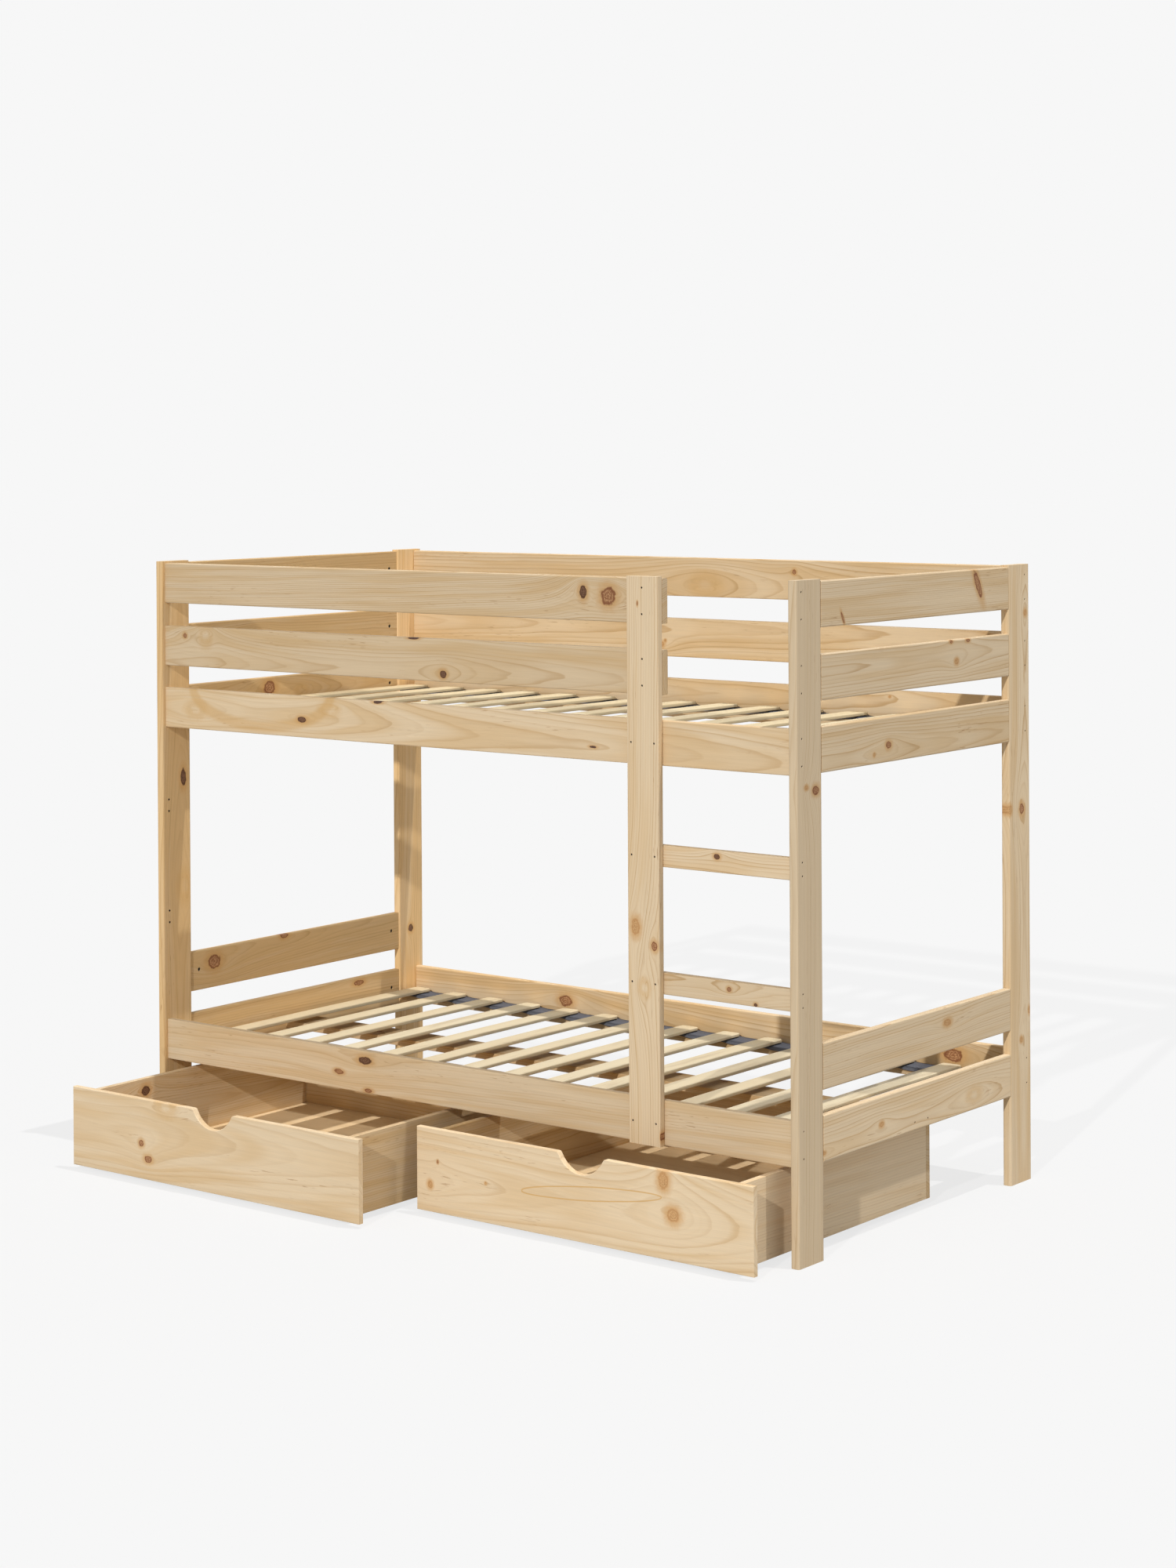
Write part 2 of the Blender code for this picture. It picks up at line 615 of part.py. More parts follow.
def make_wheels(name, drawer):
    """Four wheels under the bottom panel, each with its axle in a bracket's ears."""
    across = BOX_INNER_X - WHEEL_FROM_SIDE
    spots = (
        ("front_left", -across, WHEEL_FROM_FRONT),
        ("front_right", across, WHEEL_FROM_FRONT),
        ("rear_left", -across, DRAWER_DEEP - WHEEL_FROM_BACK),
        ("rear_right", across, DRAWER_DEEP - WHEEL_FROM_BACK),
    )
    for spot, x, y in spots:
        place = Vector((x, y, WHEEL_RADIUS))
        wheel = add_object(f"{name}_wheel_{spot}", turned_wheel(), drawer, place)
        add_material(wheel, WHEEL_PLASTIC)
        wheel.data.shade_smooth()
        wheel.data.set_sharp_from_angle(angle=SMOOTH_UNDER)
        bracket = add_object(f"{name}_bracket_{spot}", bracket_shape(), drawer, place)
        add_material(bracket, BRACKET_STEEL)
        bore = bmesh.new()
        reach = WHEEL_WIDE / 2 + EAR_GAP + EAR_THICK
        middle = (x - reach, y, WHEEL_RADIUS)
        add_holes(bore, [middle], (1, 0, 0), AXLE_RADIUS + FIT_GAP, 2 * reach + OVERRUN)
        cut_with(bracket, bracket.name + "_bore", bore)


def make_drawer(name, middle_x, pull, bed):
    """A drawer, all of it on an empty at the middle of its front face."""
    drawer = add_empty(name, (middle_x, -RAIL_OUTER_Y - pull, 0), bed)
    make_front(name, drawer)
    make_sides(name, drawer)
    make_back(name, drawer)
    make_bottom(name, drawer)
    make_wheels(name, drawer)


def main():
    clear_scene()
    # The whole piece stands with its drawers out, so its middle lies in front of the bed's.
    bed = add_empty("bed", (0, -(REST_FRONT_Y + DEPTH / 2) / 2, 0))
    make_posts(bed)
    make_long_rails(bed)
    make_end_rails(bed)
    make_ladder(bed)
    make_ledgers(bed)
    make_slat_bases(bed)
    left_middle = -POST_INNER_X + LEFT_DRAWER_END_GAP + DRAWER_WIDE / 2
    right_middle = POST_INNER_X - RIGHT_DRAWER_END_GAP - DRAWER_WIDE / 2
    make_drawer("drawer_left", left_middle, LEFT_PULL, bed)
    make_drawer("drawer_right", right_middle, RIGHT_PULL, bed)


main()
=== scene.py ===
import math

import bpy
import numpy as np
from mathutils import Matrix, Vector


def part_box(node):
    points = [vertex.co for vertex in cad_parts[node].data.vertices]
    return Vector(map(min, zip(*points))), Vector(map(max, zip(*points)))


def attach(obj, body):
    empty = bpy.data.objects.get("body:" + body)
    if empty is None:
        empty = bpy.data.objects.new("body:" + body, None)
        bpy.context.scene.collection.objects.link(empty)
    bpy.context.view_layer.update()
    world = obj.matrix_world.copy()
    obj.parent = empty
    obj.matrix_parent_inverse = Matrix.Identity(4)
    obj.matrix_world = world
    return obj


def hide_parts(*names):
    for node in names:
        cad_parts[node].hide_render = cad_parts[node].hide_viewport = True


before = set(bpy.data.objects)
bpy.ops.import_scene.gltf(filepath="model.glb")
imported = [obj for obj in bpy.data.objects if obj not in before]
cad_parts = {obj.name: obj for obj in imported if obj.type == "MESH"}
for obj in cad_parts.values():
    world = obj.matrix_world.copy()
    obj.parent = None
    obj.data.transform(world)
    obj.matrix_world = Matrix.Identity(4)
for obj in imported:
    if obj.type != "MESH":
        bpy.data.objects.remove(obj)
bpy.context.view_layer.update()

# A bunk bed in bare knotty pine. The drawers stand out in front, so the middle of the
# bed itself lies behind the middle of the whole piece.
bedMiddleY = (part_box("post_front_left")[0].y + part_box("post_rear_left")[1].y) / 2


# Where the photograph was taken from, read off the corners of the boards.
# Places are metres from the foot of the bed's middle, angles are degrees.
camera = {
    "place": (4.5856, -5.6584, 1.7686),
    "turn": 37.2364,  # round to the bed's right
    "tilt": 0.4028,  # above the level
    "roll": -0.3102,
    "pixels": (1500, 2000),
    "focalPixels": 3799.38,
    "aimPixel": (857.03, 583.60),  # where the lens axis meets the picture
    "sensor": 36.0,  # millimetres along the picture's long side
    "farthest": 200.0,
}


# Axes of the camera: to the right, up, and backwards out of the picture. Back is turned
# about the upright and tilted, and the others are rolled round it.
def cameraAxes():
    turn, tilt, roll = (math.radians(camera[key]) for key in ("turn", "tilt", "roll"))
    right = Vector((math.cos(turn), math.sin(turn), 0.0))
    back = Vector(
        (math.sin(turn) * math.cos(tilt), -math.cos(turn) * math.cos(tilt), math.sin(tilt))
    )
    up = back.cross(right)
    return (
        math.cos(roll) * right + math.sin(roll) * up,
        math.cos(roll) * up - math.sin(roll) * right,
        back,
    )


# The camera's place, from the middle of the bed to that of the whole piece
def cameraPlace():
    return Vector(camera["place"]) + Vector((0.0, bedMiddleY, 0.0))


# The lens is the focal length in pixels over the picture's height, times the sensor.
# The shift is how far the lens axis lies from the picture's middle.
def makeCamera():
    data = bpy.data.cameras.new("photoCamera")
    wide, high = camera["pixels"]
    data.sensor_width = camera["sensor"]
    data.lens = camera["focalPixels"] / high * camera["sensor"]
    data.shift_x = (wide / 2 - camera["aimPixel"][0]) / high
    data.shift_y = (camera["aimPixel"][1] - high / 2) / high
    data.clip_end = camera["farthest"]
    photoCamera = bpy.data.objects.new("photoCamera", data)
    axes = Matrix(cameraAxes()).transposed().to_4x4()
    photoCamera.matrix_world = Matrix.Translation(cameraPlace()) @ axes
    bpy.context.scene.collection.objects.link(photoCamera)
    bpy.context.scene.camera = photoCamera


# The point of a plane, square to one axis, that shows at a pixel of the picture:
# the ray through the pixel is followed until it meets the plane
def pointAtPixel(pixel, axis, level):
    right, up, back = cameraAxes()
    across = (pixel[0] - camera["aimPixel"][0]) / camera["focalPixels"]
    down = (pixel[1] - camera["aimPixel"][1]) / camera["focalPixels"]
    ray = right * across - up * down - back
    start = cameraPlace()
    return start + ray * ((level - start[axis]) / ray[axis])


# One socket, so that maths on sockets reads as plain sums
class Field:
    def __init__(self, nodes, socket):
        self.nodes = nodes
        self.socket = socket

    def maths(self, operation, *rest):
        return self.nodes.compute(operation, self, *rest)

    def __add__(self, other):
        return self.maths("ADD", other)

    __radd__ = __add__

    def __sub__(self, other):
        return self.maths("SUBTRACT", other)

    def __rsub__(self, other):
        return self.nodes.compute("SUBTRACT", other, self)

    def __mul__(self, other):
        return self.maths("MULTIPLY", other)

    __rmul__ = __mul__

    def __truediv__(self, other):
        return self.maths("DIVIDE", other)

    def __rtruediv__(self, other):
        return self.nodes.compute("DIVIDE", other, self)

    def __pow__(self, other):
        return self.maths("POWER", other)


# The nodes of one tree
class Nodes:
    def __init__(self, tree):
        self.tree = tree

    def add(self, kind, settings=None, sockets=None, output=0):
        node = self.tree.nodes.new(kind)
        for key, value in (settings or {}).items():
            setattr(node, key, value)
        for key, value in (sockets or {}).items():
            self.feed(node.inputs[key], value)
        return Field(self, node.outputs[output])

    def feed(self, socket, value):
        if isinstance(value, Field):
            self.tree.links.new(value.socket, socket)
        else:
            socket.default_value = value

    def compute(self, operation, *parts):
        return self.add("ShaderNodeMath", {"operation": operation}, dict(enumerate(parts)))

    # The three parts of a vector
    def split(self, vector):
        first = self.add("ShaderNodeSeparateXYZ", None, {0: vector})
        return [Field(self, output) for output in first.socket.node.outputs]


# The nodes of one material
class Paint(Nodes):
    socketNames = {
        "colour": "Base Color",
        "roughness": "Roughness",
        "normal": "Normal",
        "metallic": "Metallic",
        "gloss": "Specular IOR Level",
    }

    def __init__(self, name):
        self.material = bpy.data.materials.new(name)
        self.material.use_nodes = True
        super().__init__(self.material.node_tree)
        self.shader = self.tree.nodes["Principled BSDF"]

    def set(self, **values):
        for key, value in values.items():
            self.feed(self.shader.inputs[self.socketNames[key]], value)

    # A colour between two others, by a share from 0 to 1
    def blend(self, share, first, second):
        sockets = {0: share, 6: first, 7: second}
        return self.add("ShaderNodeMix", {"data_type": "RGBA"}, sockets, output=2)

    # A colour with each of its parts multiplied
    def tint(self, colour, red, green, blue):
        shade = self.add("ShaderNodeCombineColor", None, {0: red, 1: green, 2: blue})
        settings = {"data_type": "RGBA", "blend_type": "MULTIPLY"}
        return self.add("ShaderNodeMix", settings, {0: 1.0, 6: colour, 7: shade}, output=2)

    # 0 below low, 1 above high, and a smooth rise between
    def rise(self, value, low, high):
        sockets = {"Value": value, "From Min": low, "From Max": high}
        return self.add("ShaderNodeMapRange", {"interpolation_type": "SMOOTHSTEP"}, sockets)

    # 1 below low, 0 above high, and a smooth fall between
    def fall(self, value, low, high):
        return 1.0 - self.rise(value, low, high)

    # The same chance number from 0 to 1 for equal values
    def chance(self, value):
        return self.add("ShaderNodeTexWhiteNoise", {"noise_dimensions": "1D"}, {"W": value})

    # The root of a squared plus b squared
    def distance(self, a, b):
        return (a * a + b * b).maths("SQRT")

    def vector(self, x, y, z):
        return self.add("ShaderNodeCombineXYZ", None, {0: x, 1: y, 2: z})

    # Noise from 0 to 1 at a point whose parts are stretched by three scales. The seed
    # moves each part by a way of its own.
    def noise(self, point, scales, seed, detail=2.0, roughness=0.5):
        ways = (3.1, 4.8, 6.5)
        parts = [part * scale + seed * way for part, scale, way in zip(point, scales, ways)]
        sockets = {"Vector": self.vector(*parts), "Scale": 1.0}
        sockets.update({"Detail": detail, "Roughness": roughness})
        return self.add("ShaderNodeTexNoise", None, sockets)

    def bump(self, height, distance, strength):
        sockets = {"Height": height, "Distance": distance, "Strength": strength}
        return self.add("ShaderNodeBump", None, sockets)

    # The piece's own coordinates, one field for each axis
    def place(self):
        return self.split(self.add("ShaderNodeTexCoord", output="Object"))


def rgb(red, green, blue):
    return (red, green, blue, 1.0)


def grey(level):
    return rgb(level, level, level)


def boxMiddle(node):
    low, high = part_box(node)
    return (low + high) / 2


# Two heights, half of a distance below and above a middle
def spread(middle, apart):
    return middle - apart / 2, middle + apart / 2


# What every board shares. Lengths are metres, colours are linear.
pine = {
    "pale": rgb(0.735, 0.58, 0.385),
    "golden": rgb(0.64, 0.435, 0.215),
    "late": rgb(0.475, 0.285, 0.115),  # the dark edge of each year's ring
    "amber": rgb(0.6, 0.36, 0.13),
    "streak": rgb(0.34, 0.17, 0.065),
    "halo": rgb(0.58, 0.325, 0.12),  # resin-stained wood round a knot
    "bore": rgb(0.045, 0.028, 0.018),  # painted shade inside an empty screw hole
    "wander": 0.018,  # how far the rings stray from round over an arm's length
    "ripple": 0.00432,  # over a hand's breadth
    "shiver": 0.0022,  # and over a finger's
    "yearsBefore": 100.0,  # keeps the count of years above 0
    "lateRises": ((0.15, 0.92, 0.3), (0.66, 0.93, 0.7)),  # low, high, share of the dark
    "lateStop": (0.94, 1.0),
    "lateDepth": 0.72,
    "yearLeast": 0.2,  # of that, for the palest year
    "warmRise": (0.36, 0.68, 0.62),
    "warmLess": 0.12,
    "streakRise": (0.66, 0.75),
    "streakPlaces": (0.52, 0.66),
    "streakDepth": 0.55,
    "lineFall": (0.0002, 0.0006),  # for each millimetre of a resin ring's width
    "grainDepth": {"fibre": 0.12, "brush": 0.14, "least": 0.87},
    "roughness": 0.58,
    "gloss": 0.14,
    "grainHeight": 0.0004,
    "firstSeed": 3,
}

# Noises in the wood: how tightly each is packed along, across and through the board,
# its share of the board's seed, its detail, and its roughness if that isn't a half
pineNoises = {
    "wander": ((1.3, 3.5, 3.5), 0.37, 1),
    "ripple": ((5, 16, 16), 0.57, 1),
    "shiver": ((12, 90, 90), 0.61, 1),
    "band": ((55, 2.2, 8), 0.83, 2),  # slow changes of colour that follow the rings
    "fibre": ((16, 620, 620), 0.29, 2),
    "brush": ((4, 170, 170), 0.33, 2),
    "resin": ((26, 380, 380), 0.47, 1),  # short dark streaks
    "patch": ((3, 16, 16), 0.71, 1),  # where the streaks gather
    "ragged": ((90, 90, 40), 0.53, 3, 0.6),  # a knot's uneven edge
    "cracks": ((420, 420, 60), 0.59, 2),
}

# Colours of knots: the heart, the rim round it, and the cracks
knotColours = {
    "red": (rgb(0.52, 0.285, 0.138), rgb(0.22, 0.08, 0.036), rgb(0.17, 0.058, 0.026)),
    "dark": (rgb(0.215, 0.108, 0.064), rgb(0.085, 0.034, 0.02), rgb(0.045, 0.02, 0.014)),
    "tan": (rgb(0.62, 0.38, 0.175), rgb(0.5, 0.27, 0.112), rgb(0.38, 0.19, 0.07)),
    "bark": (rgb(0.11, 0.06, 0.05), rgb(0.09, 0.045, 0.035), rgb(0.05, 0.024, 0.018)),
}

# How a knot is painted from its middle outwards, where 1 is its edge. The last of
# three numbers is a strength.
knotPaint = {
    "ragged": 0.8,
    "halo": (0.8, 2.4, 0.75),
    "circles": (19.0, 3.0, 0.8),  # rings of its own: how many, how ragged, how strong
    "cracks": (0.54, 0.6, 0.75),
    "rimFrom": {"dark": 0.55},
    "rim": (0.75, 0.84),
    "edge": (0.86, 1.12, 0.95),
    "eyeRise": (0.2, 0.9),
    "eyeFall": (1.0, 2.2, 0.35),
}

# How a knot bends the rings: the share by which ways along the board count, and how
# strongly and how far it pushes and lifts, in parts of its own half height
knotBend = {"squash": 0.5, "push": 1.4, "pushReach": 0.4, "lift": 1.7, "liftReach": 3.0}

# Knots by chance, on boards whose own can't be seen
chanceKnots = {
    "countBelow": 3,
    "size": (0.003, 0.009),
    "alongBoard": (-0.45, 0.45),
    "acrossBoard": (-0.35, 0.35),
    "squash": (0.6, 1.0),
    "kinds": ("red", "tan"),
}

# Knots that show in the photograph, board by board: the pixel of the middle, half the
# length and half the height in millimetres, and which of the colours above. An "eye"
# has no knot in it, only the rings that close round a hidden one.
knots = {
    "guard_front_top": [(743.8, 755, 10, 15, "dark"), (775.7, 760.4, 20, 20, "red")],
    "guard_front_low": [
        (565.2, 859.9, 10, 9, "dark"),
        (236, 810.5, 6, 6, "red"),
        (262, 812, 16, 20, "eye"),
        (527, 814, 17, 3, "bark"),
    ],
    "rail_front_upper": [
        (385, 918, 14, 7, "dark"),
        (481, 895.5, 14, 4, "bark"),
        (756.6, 952.7, 10, 3, "bark"),
        (250, 905, 26, 16, "eye"),
        (420, 905, 24, 14, "eye"),
    ],
    "rail_front_lower": [
        (465.6, 1352.9, 20, 9, "dark"),
        (432.4, 1366.6, 14, 6, "red"),
        (469.8, 1391.2, 12, 5, "red"),
    ],
    "ladder_post": [
        (810.8, 1182, 18, 11, "tan"),
        (834.7, 1207.2, 10, 8, "red"),
        (812.7, 769.8, 5, 2, "red"),
        (822, 1260, 16, 12, "eye"),
        (842.5, 1451, 10, 2, "red"),
    ],
    "rung_upper": [(914.4, 1092.7, 8, 6, "dark")],
    "rung_lower": [(930, 1262, 6, 5, "red"), (964, 1282, 5, 4, "dark")],
    "post_front_right": [(1040.5, 1008, 10, 11, "red"), (1028.5, 1005, 5, 6, "tan")],
    "post_front_left": [(233.8, 991.6, 22, 9, "dark"), (236, 1130, 30, 18, "eye")],
    "post_rear_left": [(524, 1183.5, 10, 9, "dark")],
    "post_rear_right": [
        (1303.2, 1031.5, 13, 10, "red"),
        (1288.5, 1033, 10, 7, "tan"),
        (1302.6, 1325.8, 7, 6, "tan"),
        (1307.4, 781.2, 8, 6, "tan"),
        (1312.8, 1287.6, 9, 5, "tan"),
    ],
    "end_right_guard_top": [(1075, 788, 4, 12, "red"), (1247.5, 746, 11, 32, "red")],
    "end_right_guard_low": [
        (1220.3, 843.4, 8, 7, "tan"),
        (1213.3, 818.5, 6, 4, "red"),
        (1234.7, 816.9, 8, 4, "red"),
    ],
    "end_right_upper": [(1133.6, 950.2, 10, 8, "red"), (1115.1, 963, 4, 4, "tan")],
    "end_right_board": [(1208.5, 1304.1, 14, 8, "tan"), (1244.2, 1362.5, 7, 5, "tan")],
    "end_right_lower": [
        (1124.7, 1434.2, 8, 6, "tan"),
        (1242.7, 1396, 24, 14, "eye"),
        (1051.3, 1470.9, 6, 4, "tan"),
    ],
    "end_left_board": [(273.6, 1226.3, 21, 18, "red"), (362.9, 1192.5, 15, 8, "red")],
    "end_left_lower": [(458, 1253.4, 19, 7, "red")],
    "end_left_upper": [(343.8, 876.8, 20, 17, "red"), (385, 880, 18, 12, "eye")],
    "rail_rear_lower": [
        (721.5, 1276.4, 22, 14, "red"),
        (1216, 1346, 26, 16, "red"),
        (936.5, 1257.3, 12, 6, "red"),
    ],
    "guard_rear_top": [(1013, 729.5, 6, 6, "red"), (900, 746, 34, 22, "eye")],
    "drawer_left_front": [
        (180.2, 1458.2, 8, 8, "red"),
        (189.1, 1478.9, 12, 8, "red"),
        (211, 1412, 26, 18, "eye"),
    ],
    "drawer_left_side_left": [(186, 1391, 14, 12, "dark")],
    "drawer_right_front": [
        (548.6, 1510.8, 7, 8, "tan"),
        (558.2, 1482, 3, 4, "red"),
        (619.4, 1509.2, 3, 3, "tan"),
        (858.6, 1550.6, 16, 15, "tan"),
        (846, 1506, 13, 19, "tan"),
    ],
}

# Boards whose knots were cut lengthways, so that they lie across the board and leave
# its rings straight: how far they drift along the board for each metre across it
knotSlants = {"end_right_guard_top": -0.45}

# Long rings of resin that show in the photograph: the pixel of the middle, half the
# length and half the height in millimetres, the slope, the width of the line in
# millimetres, and how strong it is
resinRings = {
    "drawer_right_front": [((753, 1523), (195, 15), 0.11, 3.5, 0.8)],
    "rail_front_upper": [((332, 882), (235, 85), 0, 34, 0.5)],
}

# The post that is drilled inside as well, so that the ladder can go at either end
sparePost = {
    "node": "post_front_left",
    "rungs": ("rung_lower", "rung_upper"),
    "radius": (0.0026, 0.00286),  # where the painted shade ends
    "deep": 0.006,
    "deepEdge": (0.0014, 0.0004),  # where the painted shade begins, behind the hole's floor
}

# What sets one board apart from the next: a year's growth in millimetres, how far the
# log's pith lies across and through the board from its middle, how far it drifts in a
# metre, how warm the board is, how pale, and how strongly its rings show
def plank(ring, pith, lean, gold, light, depth=1.0):
    return {"ring": ring, "pith": pith, "lean": lean, "gold": gold, "light": light, "depth": depth}


boardLooks = {
    "drawer_right_side_right": dict(gold=-0.2, light=1.14, ring=6, depth=0.6),
    "guard_front_top": plank(4.6, (-150, 40), (30, 0), 0.15, 0.9, 1.2),
    "guard_front_low": plank(6, (-28, 34), (14, 22), 0.25, 0.9, 0.7),
    "rail_front_upper": plank(9, (-10, 34), (-16, 30), 0.1, 1.02, 0.7),
    "rail_front_lower": plank(5, (60, 40), (20, 10), 0.05, 0.95, 0.55),
    "ladder_post": plank(6, (70, 20), (10, 10), -0.15, 1.03, 0.9),
    "rung_upper": plank(5, (-30, 20), (20, 10), -0.05, 1.05),
    "rung_lower": plank(4, (20, 30), (20, 10), 0, 0.95),
    "post_front_right": plank(5.5, (90, 30), (12, 0), -0.45, 0.9),
    "post_rear_right": plank(5.5, (20, 40), (12, 16), 0.05, 1.05),
    "post_front_left": plank(8, (10, 34), (6, 20), 0.9, 1.16),
    # painted light: this post is paler than its wood, to brighten the shade that the front rails
    # cast on its side
    "post_rear_left": plank(7, (80, 34), (6, 20), 0.75, 1.34),
    "end_left_board": plank(6, (40, 34), (10, 20), 0.9, 1.08),
    "end_left_lower": plank(6, (-40, 34), (10, 20), 0.9, 1.09),
    "end_left_upper": plank(6, (10, 34), (10, 20), 0.9, 0.98),
    "end_left_guard_top": plank(6, (60, 34), (10, 20), 0.9, 0.97),
    "end_left_guard_low": plank(6.5, (-20, 34), (10, 24), 0.8, 0.97),
    "end_right_guard_top": plank(4.4, (-110, 34), (10, 0), 0.05, 0.96),
    "end_right_guard_low": plank(6.5, (15, 34), (10, 24), 0.05, 0.95),
    "end_right_upper": plank(7, (-25, 34), (10, 24), 0.15, 0.95),
    "end_right_board": plank(5, (70, 34), (10, 24), -0.1, 0.96),
    "end_right_lower": plank(7, (-25, 34), (10, 24), -0.1, 1.04),
    "rail_rear_upper": plank(7, (15, 40), (10, 24), 0.2, 1.08),
    "rail_rear_lower": plank(7, (-15, 40), (10, 24), 0.35, 1.05),
    "guard_rear_top": plank(8, (-25, 40), (10, 24), 0.25, 1.01),
    "guard_rear_low": plank(8, (25, 40), (10, 24), 0.25, 1.06),
    "drawer_left_front": plank(11, (20, 60), (30, 40), 0.05, 1.04, 0.4),
    "drawer_right_front": plank(13, (-10, 50), (16, 70), -0.05, 1.09, 0.5),
}


# How a board lies: the axes that run along it, across its face and through it,
# found from its box by their lengths
def boardAxes(node):
    low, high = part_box(node)
    lengths = list(high - low)
    order = sorted(range(3), key=lambda axis: -lengths[axis])
    return order, (low + high) / 2, lengths


# Where a knot's middle lies on a board, from its pixel: along it, and across it
def knotPlace(node, pixel):
    (along, across, through), middle, lengths = boardAxes(node)
    away = cameraPlace()[through] - middle[through]
    face = middle[through] + math.copysign(lengths[through] / 2, away)
    spot = pointAtPixel(pixel, through, face)
    return spot[along] - middle[along], spot[across] - middle[across]


# The knots of a board: those of the photograph, or a few small ones by chance. Each
# has its place along and across, half its length, half its height and its kind.
def boardKnots(node, draw):
    if node in knots:
        return [
            (*knotPlace(node, (x, y)), halfRun / 1000, halfRise / 1000, kind)
            for x, y, halfRun, halfRise, kind in knots[node]
        ]
    (along, across, through), middle, lengths = boardAxes(node)
    spots = []
    for number in range(draw.integers(0, chanceKnots["countBelow"])):
        size = draw.uniform(*chanceKnots["size"])
        run = draw.uniform(*chanceKnots["alongBoard"]) * lengths[along]
        rise = draw.uniform(*chanceKnots["acrossBoard"]) * lengths[across]
        height = size * draw.uniform(*chanceKnots["squash"])
        spots.append((run, rise, size, height, draw.choice(chanceKnots["kinds"])))
    return spots


# The look of a board by chance, for what boardLooks doesn't say
def chanceLook(draw, half):
    ring = draw.uniform(4.5, 7.5)
    pithRise = draw.uniform(-1.6, 1.6) * half * 1000
    pithDeep = draw.choice((-1.0, 1.0)) * draw.uniform(26, 50)
    lean = (draw.uniform(-20, 20), draw.uniform(-30, 30))
    gold, light = draw.uniform(0.2, 0.6), draw.uniform(0.93, 1.0)
    return plank(ring, (pithRise, pithDeep), lean, gold, light)


# How far a point lies from an ellipse's line: f - 1 over the slope of f, where f is
# 1 on the line and grows evenly outwards
def ringLine(paint, place, middle, halves, slope, ripple):
    halfRun, halfRise = (half / 1000 for half in halves)
    near = place[0] - middle[0]
    beside = place[1] - middle[1] - near * slope
    x, y = near / halfRun, beside / halfRise
    far = paint.distance(x, y)
    steep = paint.distance(x / halfRun, y / halfRise)
    return ((far - 1.0) * far / steep + ripple).maths("ABSOLUTE")


# A knot pushes the rings aside as a stone does a stream, and lifts them, so that the
# nearest ones close round it. Both fade by 1 over the squared distance plus the squared
# reach. Returned are the height on the board, bent so, and the lift.
def bendRings(run, rise, spots):
    flowing, lift = rise, 0.0
    for knotRun, knotRise, halfRun, halfRise, kind in spots:
        near = (run - knotRun) * (knotBend["squash"] * halfRise / halfRun)
        beside = rise - knotRise
        apart = near * near + beside * beside
        push = beside * (knotBend["push"] * halfRise**2)
        flowing = flowing - push / (apart + knotBend["pushReach"] * halfRise**2)
        reach = (knotBend["liftReach"] * halfRise) ** 2
        lift = lift + (knotBend["lift"] * halfRise * reach) / (apart + reach)
    return flowing, lift


# A knot laid over a colour: a stained halo, a dark rim, and cracked rings of its own
# in the heart. An eye is only a glow round its middle. far is 1 on the knot's edge.
def layKnot(paint, colour, far, kind, ragged, cracks):
    if kind == "eye":
        low, high, strength = knotPaint["eyeFall"]
        glow = paint.rise(far, *knotPaint["eyeRise"]) * paint.fall(far, low, high) * strength
        return paint.blend(glow, colour, pine["amber"])
    heart, rim, crack = knotColours[kind]
    low, high, strength = knotPaint["halo"]
    colour = paint.blend(paint.fall(far, low, high) * strength, colour, pine["halo"])
    count, uneven, strength = knotPaint["circles"]
    circles = ((far * count + ragged * uneven).maths("SINE") * 0.5 + 0.5) * strength
    inside = paint.blend(circles, heart, rim)
    low, high, strength = knotPaint["cracks"]
    inside = paint.blend(paint.rise(cracks, low, high) * strength, inside, crack)
    low, high = knotPaint["rim"]
    inside = paint.blend(paint.rise(far, knotPaint["rimFrom"].get(kind, low), high), inside, rim)
    low, high, strength = knotPaint["edge"]
    return paint.blend(paint.fall(far, low, high) * strength, colour, inside)


# Painted shade inside the spare screw holes of a post, and only there: within a hole's
# radius of its axis, and no deeper than the hole
def darkenHoles(paint, colour, node, run, rise, deep):
    (along, across, through), middle, lengths = boardAxes(node)
    floor = lengths[through] / 2 - sparePost["deep"]
    inside = paint.rise(deep, *(floor - edge for edge in sparePost["deepEdge"]))
    for rung in sparePost["rungs"]:
        place = boxMiddle(rung) - middle
        for height in spread(place[along], screw["rungSpread"]):
            far = paint.distance(run - height, rise - place[across])
            hole = paint.fall(far, *sparePost["radius"])
            colour = paint.blend(hole * inside, colour, pine["bore"])
    return colour


